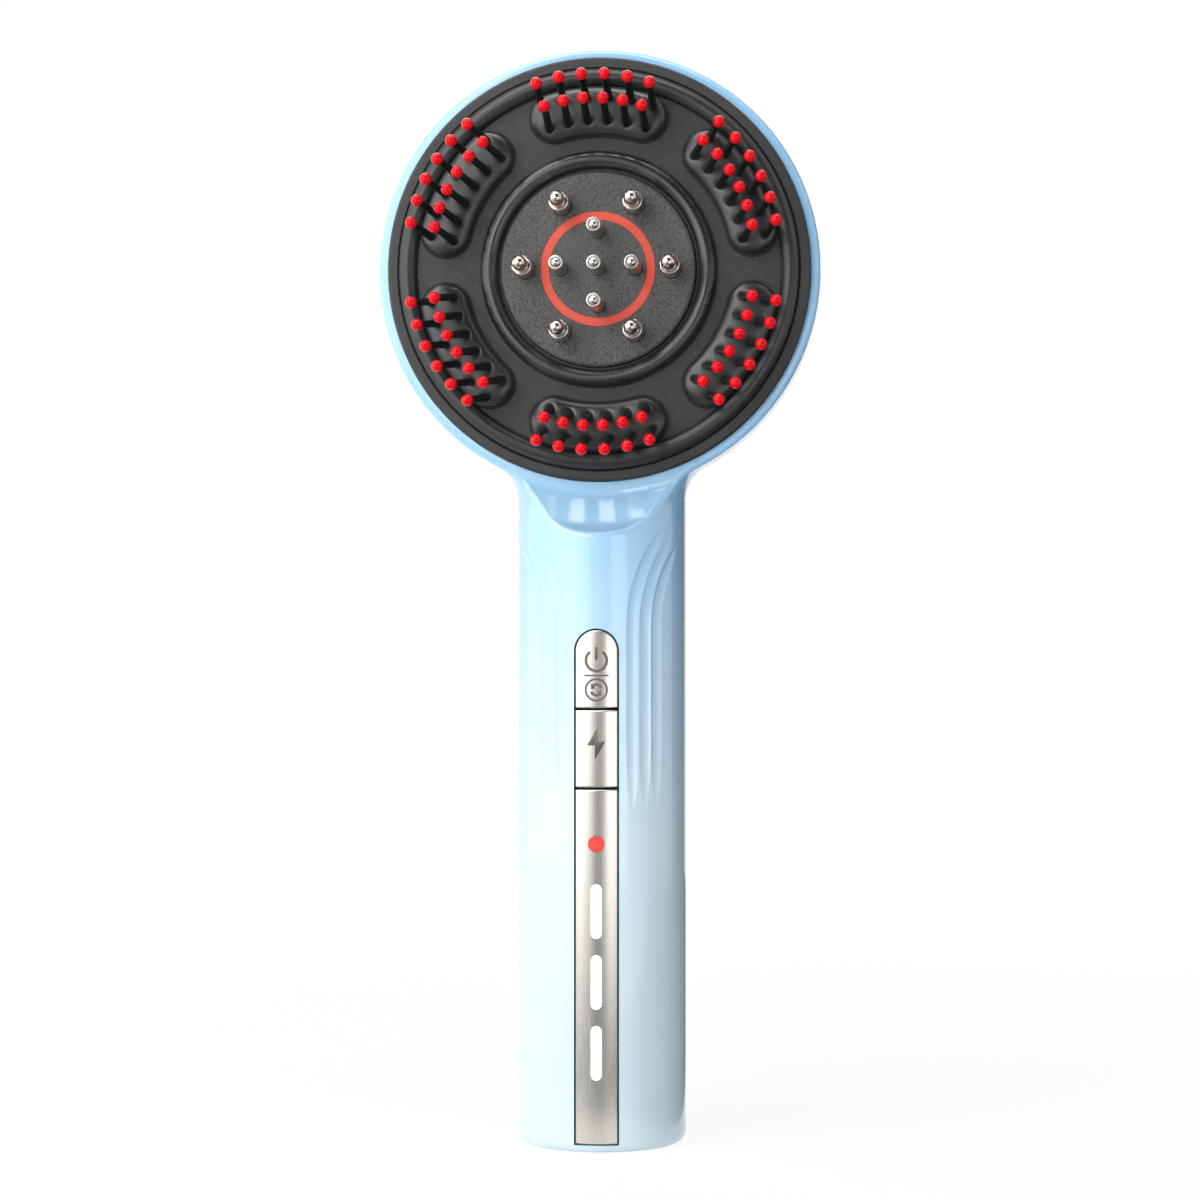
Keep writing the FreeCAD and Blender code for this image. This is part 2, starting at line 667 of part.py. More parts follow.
def strip_slot():
    """The slot that the control strip fills, with a round top."""
    top_centre = STRIP_TOP - STRIP_WIDTH / 2
    straight = block(SLOT_HALF_WIDTH, STRIP_REAR, FAR, STRIP_FOOT - STRIP_GAP, top_centre)
    return joined([straight, forward(SLOT_HALF_WIDTH, STRIP_REAR, FAR, top_centre)])


def front_shell(outside, cavity):
    half = broken_seam(casing_half(outside, True)).cut(cavity)
    lugs = [on_head(lug) for lug in case_screw_sites(upright(CASE_LUG_RADIUS, 0, LEDGE))]
    shell = joined([half] + lugs)
    head_top = LEDGE - CASE_HEAD_HEIGHT - SCREW_PASS
    passages = case_screw_sites(upright(CASE_SHANK_RADIUS + SCREW_PASS, -SEAM_TONGUE, LEDGE))
    recesses = case_screw_sites(upright(CASE_HEAD_RADIUS + SCREW_PASS, head_top, LEDGE))
    opening = upright(FACE_OPENING, LEDGE, FAR)
    ledge_hole = upright(LEDGE_RADIUS, LEDGE_REAR - FIT_GAP, LEDGE)
    ledge_hole = ledge_hole.cut(case_screw_sites(upright(CASE_LUG_RADIUS, 0, LEDGE)))
    cuts = [on_head(piece) for piece in passages + recesses + [opening, ledge_hole]]
    socket = stadium(SOCKET_WIDTH + 2 * SOCKET_GAP, SOCKET_DEPTH + 2 * SOCKET_GAP, -FIT_GAP, SOCKET_TOP)
    cuts.append(moved(socket, Vector(0, -SOCKET_LEVEL, 0)))
    cuts.append(strip_slot())
    cuts.append(seam_band(CASE_WALL / 2, SEAM_TONGUE + SEAM_GAP, cavity))
    return one_solid(shell.cut(cuts))


def battery_rib(height):
    """A rib of the rear shell that cradles the battery."""
    rib = Part.makeBox(2 * FAR, FAR, RIB_THICKNESS, Vector(-FAR, RIB_FRONT, height - RIB_THICKNESS / 2))
    rib = rib.common(upright(HANDLE_BORE + CASE_WALL / 2, 0, FAR))
    return rib.cut(upright(BATTERY_RADIUS + FIT_GAP, 0, FAR, Vector(0, -BATTERY_LEVEL, 0)))


def rear_shell(outside, cavity):
    half = casing_half(outside, False).cut(cavity)
    tongue = seam_band(CASE_WALL / 2 + SEAM_GAP, SEAM_TONGUE, cavity)
    bosses = [on_head(boss) for boss in case_screw_sites(upright(CASE_LUG_RADIUS, -HEAD_REAR, 0))]
    seat = on_head(upright(RESERVOIR_SEAT_RADIUS, -HEAD_REAR, RESERVOIR_REAR))
    columns = [forward(COLUMN_RADIUS, -HANDLE_RADIUS, BOARD_REAR, z) for z in (LOWER_COLUMN, UPPER_COLUMN)]
    rib_span = BATTERY_LENGTH - 2 * RIB_END_INSET
    rib_step = rib_span / (RIB_COUNT - 1)
    ribs = [battery_rib(BATTERY_FOOT + RIB_END_INSET + rib_step * index) for index in range(RIB_COUNT)]
    grown = [piece.common(outside) for piece in bosses + [seat] + columns]
    shell = joined([half] + tongue.Solids + grown + ribs)
    screw_end = LEDGE - CASE_HEAD_HEIGHT - SCREW_PASS - CASE_SHANK_LENGTH - SCREW_TIP_ROOM
    bores = [on_head(bore) for bore in case_screw_sites(upright(CASE_SHANK_RADIUS + SCREW_FIT, screw_end, 0))]
    thread = SMALL_SHANK_RADIUS + SCREW_FIT
    depth = BOARD_FRONT - SMALL_SHANK_LENGTH - SCREW_TIP_ROOM
    bores += [forward(thread, depth, BOARD_REAR, z) for z in (LOWER_COLUMN, UPPER_COLUMN)]
    return one_solid(shell.cut(bores))


# Face plate, beads, cushions and bristles


def kidney(grow, bottom, top):
    """A bent, round-ended bar on the cushion circle, centred on +X."""
    half_width = CUSHION_HALF_WIDTH + grow
    outer = CUSHION_RADIUS + half_width
    inner = CUSHION_RADIUS - half_width
    end = CUSHION_HALF_ANGLE
    left_cap = polar(CUSHION_RADIUS, end) + polar(half_width, end + QUARTER_TURN)
    right_cap = polar(CUSHION_RADIUS, -end) + polar(half_width, -end - QUARTER_TURN)
    edges = [
        arc(polar(outer, -end), polar(outer, 0), polar(outer, end)),
        arc(polar(outer, end), left_cap, polar(inner, end)),
        arc(polar(inner, end), polar(inner, 0), polar(inner, -end)),
        arc(polar(inner, -end), right_cap, polar(outer, -end)),
    ]
    face = Part.Face(Part.Wire(edges))
    return moved(face, Vector(0, 0, bottom)).extrude(Vector(0, 0, top - bottom))


def face_plate():
    """The black plate: flat floor, round outer bead, flat outer band, and an opening for each cushion."""
    hole = DISC_RADIUS + DISC_GAP
    bead_middle = (OUTER_BEAD_START + OUTER_BEAD_END) / 2
    bead_start = at(OUTER_BEAD_START, FACE_FLOOR)
    bead_end = at(OUTER_BEAD_END, FACE_BAND - BEAD_CREASE)
    band_end = at(FACE_RADIUS - FACE_EDGE_ROUND, FACE_BAND)
    edge_start = at(FACE_RADIUS, FACE_BAND - FACE_EDGE_ROUND)
    corner = FACE_EDGE_ROUND * (1 - math.sqrt(0.5))
    edges = chain([at(hole, LEDGE), at(hole, FACE_FLOOR), bead_start])
    edges.append(arc(bead_start, at(bead_middle, FACE_FLOOR + OUTER_BEAD_HEIGHT), bead_end))
    edges += chain([bead_end, at(OUTER_BEAD_END + BEAD_CREASE, FACE_BAND), band_end])
    edges.append(arc(band_end, at(FACE_RADIUS - corner, FACE_BAND - corner), edge_start))
    edges += chain([edge_start, at(FACE_RADIUS, LEDGE), at(hole, LEDGE)])
    sites = [polar(CUSHION_RADIUS, angle) for angle in PLATE_SCREW_ANGLES]
    bosses = [upright(PLATE_BOSS_RADIUS, FLANGE_REAR, FACE_FLOOR, site) for site in sites]
    plate = joined([spun(edges)] + bosses)
    thread_end = BACKING_REAR + SMALL_SHANK_LENGTH + SCREW_TIP_ROOM
    cuts = [upright(SMALL_SHANK_RADIUS + SCREW_FIT, FLANGE_REAR, thread_end, site) for site in sites]
    cuts += [turned(kidney(SEAT_GAP, FLANGE_REAR, FAR), angle) for angle in GROUP_ANGLES]
    foot = INNER_BEAD_FOOT / 2 + INNER_BEAD_FOOT_GAP
    middle = (INNER_BEAD_START + INNER_BEAD_END) / 2
    cuts.append(tube(middle + foot, middle - foot, FACE_FLOOR - INNER_BEAD_FOOT_DEPTH, FACE_FLOOR))
    return on_head(one_solid(plate.cut(cuts)))


def inner_bead():
    """The soft round ring about the centre disc, with a foot in the face plate's groove."""
    middle = (INNER_BEAD_START + INNER_BEAD_END) / 2
    foot = INNER_BEAD_FOOT / 2
    start = at(INNER_BEAD_START, FACE_FLOOR)
    end = at(INNER_BEAD_END, FACE_FLOOR)
    foot_level = FACE_FLOOR - INNER_BEAD_FOOT_DEPTH
    outer_foot = [at(middle + foot, FACE_FLOOR), at(middle + foot, foot_level)]
    inner_foot = [at(middle - foot, foot_level), at(middle - foot, FACE_FLOOR)]
    top = arc(start, at(middle, FACE_FLOOR + INNER_BEAD_HEIGHT), end)
    return on_head(spun([top] + chain([end] + outer_foot + inner_foot + [start])))


def bristle_line(row, index):
    """The foot and the tip of one bristle of the group on +X. All bristles of a group lean the same way."""
    radius = CUSHION_RADIUS + ROW_OFFSET + ROW_SPACING * (row - (ROW_COUNT - 1) / 2)
    angle = BRISTLE_PITCH * (index - (BRISTLES_PER_ROW - 1) / 2)
    slope = math.tan(math.radians(BRISTLE_LEAN))
    surface = polar(radius, angle, CUSHION_TOP)
    below = CUSHION_TOP - FLANGE_REAR
    above = TIP_LEVEL - CUSHION_TOP
    return surface - Vector(slope * below, 0, below), surface + Vector(slope * above, 0, above)


def bristle(foot, tip, grow=0.0):
    """A tapered pin that stands on the backing plate."""
    axis = tip - foot
    spare = axis.normalize() * BRISTLE_ROOT_RADIUS
    length = (tip - foot + spare).Length
    root = BRISTLE_ROOT_RADIUS + grow
    pin = Part.makeCone(root, BRISTLE_TIP_RADIUS + grow, length, foot - spare, tip - foot)
    return pin.common(upright(FAR, FLANGE_REAR, FAR))


def bristle_tip(foot, tip):
    """A ball with a socket for its bristle."""
    return Part.makeSphere(TIP_RADIUS, tip).cut(bristle(foot, tip))


def cushion(lines):
    """A soft kidney-shaped cushion with a flange under the face plate and a hole for each bristle."""
    body = kidney(0, FLANGE_REAR, CUSHION_TOP)
    body = body.makeFillet(CUSHION_ROUND, level_edges(body, CUSHION_TOP))
    body = joined([body, kidney(FLANGE_WIDTH, FLANGE_REAR, LEDGE)])
    return one_solid(body.cut([bristle(foot, tip, BRISTLE_HOLE_GAP) for foot, tip in lines]))


# Centre of the face


def electrode_sites(shape):
    """Copies of a piece at the electrodes."""
    return [moved(shape, polar(ELECTRODE_CIRCLE, angle)) for angle in ELECTRODE_ANGLES]


def nozzle_points(radius):
    """The middle of the dispenser and the points on a circle round it."""
    ring = [polar(radius, FULL_TURN / NOZZLE_RING_COUNT * index) for index in range(NOZZLE_RING_COUNT)]
    return [ORIGIN] + ring


def centre_disc():
    """The textured black disc that carries the electrodes and the light ring."""
    body = upright(DISC_RADIUS, FLANGE_REAR, DISC_FRONT)
    body = body.makeFillet(DISC_EDGE_ROUND, level_edges(body, DISC_FRONT))
    disc = joined([body, upright(DISC_RADIUS + DISC_FLANGE_WIDTH, FLANGE_REAR, LEDGE)])
    cuts = electrode_sites(upright(SLEEVE_RADIUS + FIT_GAP, FLANGE_REAR, DISC_FRONT))
    cuts.append(upright(RING_RADIUS + FIT_GAP, FLANGE_REAR, DISC_FRONT))
    thread_end = HEAD_BOARD_REAR + SMALL_SHANK_LENGTH + SCREW_TIP_ROOM
    thread = upright(SMALL_SHANK_RADIUS + SCREW_FIT, FLANGE_REAR, thread_end)
    cuts += head_board_sites(thread)
    return on_head(one_solid(disc.cut(cuts)))


def light_ring():
    """The red ring that guides light from the red diodes to the face."""
    foot_radius = RING_RADIUS + RING_TO_SLEEVE - RING_FOOT_GAP
    foot_rear = BACKING_REAR + LED_HEIGHT + LED_GAP
    wall = tube(RING_RADIUS, RING_INNER, foot_rear, DISC_FRONT + RING_PROUD)
    return on_head(joined([wall, tube(foot_radius, RING_INNER, foot_rear, FLANGE_REAR)]))


def dispenser_cap():
    """The smooth inner disc that carries the nozzles."""
    cap = upright(CAP_RADIUS, CAP_REAR, DISC_FRONT)
    seats = [upright(NOZZLE_RADIUS + FIT_GAP, NOZZLE_FOOT, DISC_FRONT, p) for p in nozzle_points(NOZZLE_CIRCLE)]
    inner_circle = NOZZLE_CIRCLE - CHANNEL_INSET
    channels = [upright(NOZZLE_CHANNEL, CAP_REAR, NOZZLE_FOOT, p) for p in nozzle_points(inner_circle)]
    return on_head(one_solid(cap.cut(seats + channels)))


def nozzle_tube():
    """A steel tube whose mouth holds a ball."""
    body = upright(NOZZLE_RADIUS, NOZZLE_FOOT, NOZZLE_TOP)
    body = body.makeFillet(NOZZLE_EDGE_ROUND, level_edges(body, NOZZLE_TOP))
    channel = upright(NOZZLE_CHANNEL, NOZZLE_FOOT, BALL_LEVEL)
    return one_solid(body.cut([Part.makeSphere(BALL_SOCKET, Vector(0, 0, BALL_LEVEL)), channel]))


def seal_ring(gap):
    """The seal between cap and reservoir, or its groove."""
    middle = RESERVOIR_RADIUS - RESERVOIR_WALL / 2
    half = SEAL_WIDTH / 2 - gap
    return tube(middle + half, middle - half, CAP_REAR - SEAL_DEPTH, CAP_REAR)


def reservoir():
    """The cup that holds the hair tonic behind the dispenser cap."""
    cup = upright(RESERVOIR_RADIUS, RESERVOIR_REAR, CAP_REAR)
    room = upright(RESERVOIR_RADIUS - RESERVOIR_WALL, RESERVOIR_REAR + RESERVOIR_FLOOR, CAP_REAR)
    return on_head(one_solid(cup.cut([room, seal_ring(0)])))


def electrode_sleeve():
    """A chrome sleeve, closed at its rear, with a lip that keeps the plunger in."""
    body = upright(SLEEVE_RADIUS, BACKING_REAR, SLEEVE_TOP)
    body = body.makeFillet(SLEEVE_EDGE_ROUND, level_edges(body, SLEEVE_TOP))
    bore = upright(SLEEVE_BORE, SPRING_FOOT, SLEEVE_TOP - SLEEVE_LIP)
    mouth = upright(PLUNGER_RADIUS + PLUNGER_FIT, SPRING_FOOT, SLEEVE_TOP)
    return one_solid(body.cut([bore, mouth]))


def electrode_plunger():
    """A round-ended chrome plunger with a collar inside the sleeve."""
    dome_level = PLUNGER_TIP - PLUNGER_RADIUS
    shaft = upright(PLUNGER_RADIUS, COLLAR_FOOT, dome_level)
    dome = Part.makeSphere(PLUNGER_RADIUS, Vector(0, 0, dome_level))
    return joined([shaft, dome, upright(COLLAR_RADIUS, COLLAR_FOOT, COLLAR_TOP)])


def electrode_spring():
    """A plain sleeve in the room that the plunger's coil spring takes."""
    outer = SLEEVE_BORE - SPRING_GAP
    return tube(outer, outer - SPRING_WIRE, SPRING_FOOT, COLLAR_FOOT)


# Behind the face


def head_board_sites(shape):
    """Copies of a piece at the light board's screws."""
    return [moved(shape, polar(HEAD_BOARD_SCREW_CIRCLE, angle)) for angle in HEAD_BOARD_SCREW_ANGLES]


def plate_screw_sites(shape):
    """Copies of a piece at the screws between the cushions."""
    return [moved(shape, polar(CUSHION_RADIUS, angle)) for angle in PLATE_SCREW_ANGLES]


def backing_plate():
    """The plate that clamps cushions and disc against the face plate."""
    plate = tube(LEDGE_RADIUS - BACKING_GAP, BACKING_HOLE, BACKING_REAR, FLANGE_REAR)
    passage = upright(SMALL_SHANK_RADIUS + SCREW_PASS, BACKING_REAR, FLANGE_REAR)
    notch = upright(CASE_LUG_RADIUS + LUG_CLEARANCE, BACKING_REAR, FLANGE_REAR)
    cuts = plate_screw_sites(passage) + head_board_sites(passage) + case_screw_sites(notch)
    return on_head(one_solid(plate.cut(cuts)))


def head_board():
    """The ring-shaped circuit board with the red diodes and the electrode contacts."""
    board = tube(HEAD_BOARD_RADIUS, HEAD_BOARD_HOLE, HEAD_BOARD_REAR, BACKING_REAR)
    passage = upright(SMALL_SHANK_RADIUS + SCREW_PASS, HEAD_BOARD_REAR, BACKING_REAR)
    return on_head(one_solid(board.cut(head_board_sites(passage))))


def red_leds():
    corner = Vector(RED_LED_CIRCLE - RED_LED_DEPTH / 2, -RED_LED_WIDTH / 2, BACKING_REAR)
    led = Part.makeBox(RED_LED_DEPTH, RED_LED_WIDTH, LED_HEIGHT, corner)
    return on_head(group([turned(led, FULL_TURN / RED_LED_COUNT * index) for index in range(RED_LED_COUNT)]))


def screw(shank_radius, shank_length, head_radius, head_height):
    """A screw along +Z, with its head above the origin."""
    body = joined([upright(shank_radius, -shank_length, 0), upright(head_radius, 0, head_height)])
    return one_solid(body.cut(upright(DRIVE_RADIUS, head_height - DRIVE_DEPTH, head_height)))


def small_screws():
    piece = screw(SMALL_SHANK_RADIUS, SMALL_SHANK_LENGTH, SMALL_HEAD_RADIUS, SMALL_HEAD_HEIGHT)
    plate_screws = plate_screw_sites(moved(flipped(piece), Vector(0, 0, BACKING_REAR)))
    board_screws = head_board_sites(moved(flipped(piece), Vector(0, 0, HEAD_BOARD_REAR)))
    on_board = moved(piece, Vector(0, 0, BOARD_FRONT))
    handle_screws = [facing_front(on_board, height) for height in (LOWER_COLUMN, UPPER_COLUMN)]
    return group([on_head(piece) for piece in plate_screws + board_screws] + handle_screws)


def case_screws():
    piece = screw(CASE_SHANK_RADIUS, CASE_SHANK_LENGTH, CASE_HEAD_RADIUS, CASE_HEAD_HEIGHT)
    seated = moved(piece, Vector(0, 0, LEDGE - CASE_HEAD_HEIGHT - SCREW_PASS))
    return on_head(group(case_screw_sites(seated)))


# Control strip


def strip_crown(grow):
    """The round front of the control strip, as a long cylinder."""
    return upright(STRIP_CROWN + grow, 0, HEAD_HEIGHT, Vector(0, -STRIP_AXIS, 0))


def strip_piece(bottom, top, round_top):
    """A piece of the strip with a crowned front and broken front edges."""
    half_width = STRIP_WIDTH / 2
    body = block(half_width, STRIP_REAR, HANDLE_RADIUS + STRIP_CROWN, bottom, top)
    if round_top:
        straight = block(half_width, STRIP_REAR, FAR, bottom, top - half_width)
        body = body.common(joined([straight, forward(half_width, STRIP_REAR, FAR, top - half_width)]))
    crown = strip_crown(0)
    body = one_solid(body.common(crown))
    return one_solid(body.makeFillet(STRIP_EDGE_ROUND, edges_on(body, crown, body)))


def strip_wings(bottom, top, gap):
    """The wings that keep a strip piece behind the handle's wall."""
    half_width = STRIP_WIDTH / 2 + WING_WIDTH
    front = HANDLE_BORE - gap
    wings = block(half_width, front - WING_THICKNESS, front, bottom, top)
    return wings.common(upright(front, bottom, top))


def button(bottom, top, round_top):
    """A button with wings and a post over its switch."""
    middle = (bottom + top) / 2
    wing_top = top - WING_INSET - (STRIP_WIDTH / 2 if round_top else 0)
    wings = strip_wings(bottom + WING_INSET, wing_top, BUTTON_WING_GAP)
    post = forward(POST_RADIUS, STEM_TOP, HANDLE_BORE, middle)
    return joined([strip_piece(bottom, top, round_top), wings, post])


def light_bar(height, grow):
    """A round-ended bar that reaches far out of the panel's front."""
    radius = BAR_WIDTH / 2 + grow
    reach = (BAR_LENGTH - BAR_WIDTH) / 2
    straight = block(radius, LIGHT_REAR, FAR, height - reach, height + reach)
    ends = [forward(radius, LIGHT_REAR, FAR, height + side * reach) for side in (-1, 1)]
    return joined([straight] + ends)


def light_dot(grow):
    """A round rod that reaches far out of the panel's front."""
    return forward(LENS_RADIUS + grow, LIGHT_REAR, FAR, LENS_HEIGHT)


def crowned(shape):
    """A light cut off just above the strip's round front."""
    return one_solid(shape.common(strip_crown(LIGHT_PROUD)))


def indicator_panel():
    """The long panel under the buttons, with openings for its lights and room for the charging socket."""
    wings = strip_wings(SOCKET_TOP + WING_INSET, PANEL_TOP - WING_INSET, PANEL_WING_GAP)
    panel = joined([strip_piece(STRIP_FOOT, PANEL_TOP, False), wings])
    room = stadium(SOCKET_WIDTH + 2 * SOCKET_GAP, SOCKET_DEPTH + 2 * SOCKET_GAP, 0, SOCKET_TOP + SOCKET_GAP)
    cuts = [light_bar(height, FIT_GAP) for height in BAR_HEIGHTS]
    cuts += [light_dot(FIT_GAP), moved(room, Vector(0, -SOCKET_LEVEL, 0))]
    return one_solid(panel.cut(cuts))


def switch_body(middle):
    """A push switch on the main board, with a hole for its stem."""
    half = SWITCH_SIDE / 2
    body = block(half, BOARD_FRONT, SWITCH_TOP, middle - half, middle + half)
    hole_end = STEM_FOOT - BUTTON_TRAVEL - FIT_GAP
    return one_solid(body.cut(forward(STEM_RADIUS + STEM_FIT, hole_end, SWITCH_TOP, middle)))


def switch_stem(middle):
    return forward(STEM_RADIUS, STEM_FOOT, STEM_TOP, middle)


# Main board, charging socket and battery


def main_board():
    """The long circuit board with its control chip between the switches."""
    board = block(BOARD_HALF_WIDTH, BOARD_REAR, BOARD_FRONT, BOARD_FOOT, BOARD_TOP)
    chip_middle = (PULSE_MIDDLE + POWER_MIDDLE) / 2
    half = CONTROL_CHIP_SIDE / 2
    chip_top = BOARD_FRONT + CONTROL_CHIP_HEIGHT
    chip = block(half, BOARD_FRONT, chip_top, chip_middle - half, chip_middle + half)
    passage = SMALL_SHANK_RADIUS + SCREW_PASS
    holes = [forward(passage, BOARD_REAR, BOARD_FRONT, z) for z in (LOWER_COLUMN, UPPER_COLUMN)]
    return one_solid(joined([board, chip]).cut(holes))


def indicator_led(height):
    half = CHIP_SIDE / 2
    return block(half, BOARD_FRONT, BOARD_FRONT + LED_HEIGHT, height - half, height + half)


def usb_socket():
    """The charging socket: a flat round-ended sleeve with a closed back and a contact tongue."""
    back = SOCKET_TOP - SOCKET_BACK
    outer = stadium(SOCKET_WIDTH, SOCKET_DEPTH, SOCKET_INSET, SOCKET_TOP)
    inner = stadium(SOCKET_WIDTH - 2 * SOCKET_WALL, SOCKET_DEPTH - 2 * SOCKET_WALL, SOCKET_INSET, back)
    half = TONGUE_THICKNESS / 2
    tongue = block(TONGUE_WIDTH / 2, -half, half, back - TONGUE_LENGTH, SOCKET_TOP)
    return moved(joined([outer.cut(inner), tongue]), Vector(0, -SOCKET_LEVEL, 0))


def battery():
    cell = upright(BATTERY_RADIUS, BATTERY_FOOT, BATTERY_TOP, Vector(0, -BATTERY_LEVEL, 0))
    return cell.makeFillet(BATTERY_EDGE_ROUND, level_edges(cell, BATTERY_FOOT) + level_edges(cell, BATTERY_TOP))


def battery_tab(bottom):
    """A contact strip from a battery end to the main board."""
    return block(TAB_WIDTH / 2, BATTERY_LEVEL - TAB_REACH, BOARD_REAR, bottom, bottom + TAB_THICKNESS)


# Vibration motor and wiring


MOTOR_CENTRE = Vector(0, MOTOR_BACK, 0)


def motor():
    can = upright(MOTOR_RADIUS, MOTOR_FOOT, MOTOR_TOP, MOTOR_CENTRE)
    can = can.makeFillet(MOTOR_EDGE_ROUND, level_edges(can, MOTOR_FOOT) + level_edges(can, MOTOR_TOP))
    bore_end = MOTOR_TOP - SHAFT_SEAT - SHAFT_END_GAP
    return one_solid(can.cut(upright(SHAFT_RADIUS + SHAFT_FIT, bore_end, MOTOR_TOP, MOTOR_CENTRE)))


def motor_shaft():
    return upright(SHAFT_RADIUS, MOTOR_TOP - SHAFT_SEAT, WEIGHT_TOP, MOTOR_CENTRE)


def eccentric_weight():
    """A half disc on the motor's shaft, which makes the handle vibrate."""
    foot = MOTOR_CENTRE + Vector(0, 0, WEIGHT_FOOT)
    half_disc = Part.makeCylinder(WEIGHT_RADIUS, WEIGHT_THICKNESS, foot, Z_AXIS, HALF_TURN)
    hub = upright(WEIGHT_HUB, WEIGHT_FOOT, WEIGHT_TOP, MOTOR_CENTRE)
    bore = upright(SHAFT_RADIUS + SHAFT_PRESS, WEIGHT_FOOT, WEIGHT_TOP, MOTOR_CENTRE)
    return one_solid(joined([half_disc, hub]).cut(bore))


def motor_bracket():
    """A clip between the motor and the handle's rear wall."""
    bottom = MOTOR_FOOT + BRACKET_INSET
    top = bottom + BRACKET_HEIGHT
    clip = block(MOTOR_RADIUS + BRACKET_ARM, -HANDLE_BORE, BRACKET_GRIP - MOTOR_BACK, bottom, top)
    clip = clip.common(upright(HANDLE_BORE - FIT_GAP, bottom, top))
    return one_solid(clip.cut(upright(MOTOR_RADIUS + FIT_GAP, bottom, top, MOTOR_CENTRE)))


def motor_lead(side):
    """A wire from the motor's foot, round a bend, to the main board."""
    across = side * (RIBBON_WIDTH / 2 + LEAD_RADIUS + LEAD_GAP)
    low = MOTOR_FOOT - LEAD_DROP
    bend_centre = Vector(across, MOTOR_BACK - LEAD_BEND, low + LEAD_BEND)
    bend_middle = bend_centre + (Y_AXIS - Z_AXIS).normalize() * LEAD_BEND
    start = Vector(across, MOTOR_BACK, MOTOR_FOOT)
    bend_start = bend_centre + Y_AXIS * LEAD_BEND
    bend_end = bend_centre - Z_AXIS * LEAD_BEND
    end = Vector(across, -BOARD_REAR, low)
    path = Part.Wire([line(start, bend_start), arc(bend_start, bend_middle, bend_end), line(bend_end, end)])
    return path.makePipeShell([Part.Wire(Part.makeCircle(LEAD_RADIUS, start, Z_AXIS * -1))], True, False)


def head_ribbon():
    """The flat cable from the light board down to the main board."""
    heights = [
        HEAD_HEIGHT - RIBBON_TOP_DROP,
        HEAD_HEIGHT - RIBBON_BEND_DROP,
        BOARD_TOP + RIBBON_BEND_RISE,
        BOARD_TOP - RIBBON_SEAT,
    ]
    levels = [HEAD_BOARD_REAR, HEAD_BOARD_REAR, BOARD_REAR, BOARD_REAR]
    front = [Vector(-RIBBON_WIDTH / 2, -level, height) for level, height in zip(levels, heights)]
    rear = [point + Y_AXIS * RIBBON_THICKNESS for point in reversed(front)]
    outline = Part.Wire(chain(front + rear + front[:1]))
    return Part.Face(outline).extrude(X_AXIS * RIBBON_WIDTH)


# All pieces


def build_head():
    lines = [bristle_line(row, index) for row in range(ROW_COUNT) for index in range(BRISTLES_PER_ROW)]
    pad = cushion(lines)
    pins = group([bristle(foot, tip) for foot, tip in lines])
    tips = group([bristle_tip(foot, tip) for foot, tip in lines])
    pieces = {}
    for number, angle in enumerate(GROUP_ANGLES, 1):
        pieces["cushion_%d" % number] = on_head(turned(pad, angle))
        pieces["bristles_%d" % number] = on_head(turned(pins, angle))
    pieces["bristle_tips"] = on_head(group([turned(tips, angle) for angle in GROUP_ANGLES]))
    for number, plunger in enumerate(electrode_sites(electrode_plunger()), 1):
        pieces["electrode_%d" % number] = on_head(plunger)
    pieces["electrode_sleeves"] = on_head(group(electrode_sites(electrode_sleeve())))
    pieces["electrode_springs"] = on_head(group(electrode_sites(electrode_spring())))
    points = nozzle_points(NOZZLE_CIRCLE)
    for number, point in enumerate(points, 1):
        centre = point + Z_AXIS * BALL_LEVEL
        pieces["nozzle_ball_%d" % number] = on_head(Part.makeSphere(BALL_RADIUS, centre))
    pieces["nozzle_tubes"] = on_head(group([moved(nozzle_tube(), point) for point in points]))
    pieces["cap_seal"] = on_head(seal_ring(SEAL_GAP))
    pieces["face_plate"] = face_plate()
    pieces["bead_ring"] = inner_bead()
    pieces["centre_disc"] = centre_disc()
    pieces["light_ring"] = light_ring()
    pieces["dispenser_cap"] = dispenser_cap()
    pieces["reservoir"] = reservoir()
    pieces["backing_plate"] = backing_plate()
    pieces["head_board"] = head_board()
    pieces["red_leds"] = red_leds()
    return pieces


def build_handle():
    return {
        "indicator_panel": indicator_panel(),
        "power_button": button(POWER_FOOT, STRIP_TOP, True),
        "pulse_button": button(PULSE_FOOT, PULSE_TOP, False),
        "indicator_lens": crowned(light_dot(0)),
        "level_bars": group([crowned(light_bar(height, 0)) for height in BAR_HEIGHTS]),
        "indicator_leds": group([indicator_led(height) for height in [LENS_HEIGHT] + BAR_HEIGHTS]),
        "switch_bodies": group([switch_body(PULSE_MIDDLE), switch_body(POWER_MIDDLE)]),
        "power_stem": switch_stem(POWER_MIDDLE),
        "pulse_stem": switch_stem(PULSE_MIDDLE),
        "main_board": main_board(),
        "usb_socket": usb_socket(),
        "battery": battery(),
        "battery_tabs": group([battery_tab(BATTERY_FOOT - TAB_THICKNESS), battery_tab(BATTERY_TOP)]),
        "motor": motor(),
        "motor_shaft": motor_shaft(),
        "eccentric_weight": eccentric_weight(),
        "motor_bracket": motor_bracket(),
        "motor_leads": group([motor_lead(-1), motor_lead(1)]),
        "head_ribbon": head_ribbon(),
    }


def build_casing():
    outside = casing_outside()
    cavity = casing_cavity()
    return {
        "front_shell": front_shell(outside, cavity),
        "rear_shell": rear_shell(outside, cavity),
        "case_screws": case_screws(),
        "small_screws": small_screws(),
    }


os.makedirs("parts", exist_ok=True)
for pieces in (build_casing(), build_head(), build_handle()):
    for node, shape in pieces.items():
        shape.exportStep("parts/" + node + ".step")
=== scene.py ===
"""Looks of the light therapy hair comb: materials, soft mounds, springs, printed icons, studio and camera.

The frame is the part's own: +Z runs up the handle and the comb face looks along -Y. A level is a distance in
front of the handle axis. Sizes are millimetres unless a name or a heading says otherwise. Angles are degrees.
"""
import json
import math

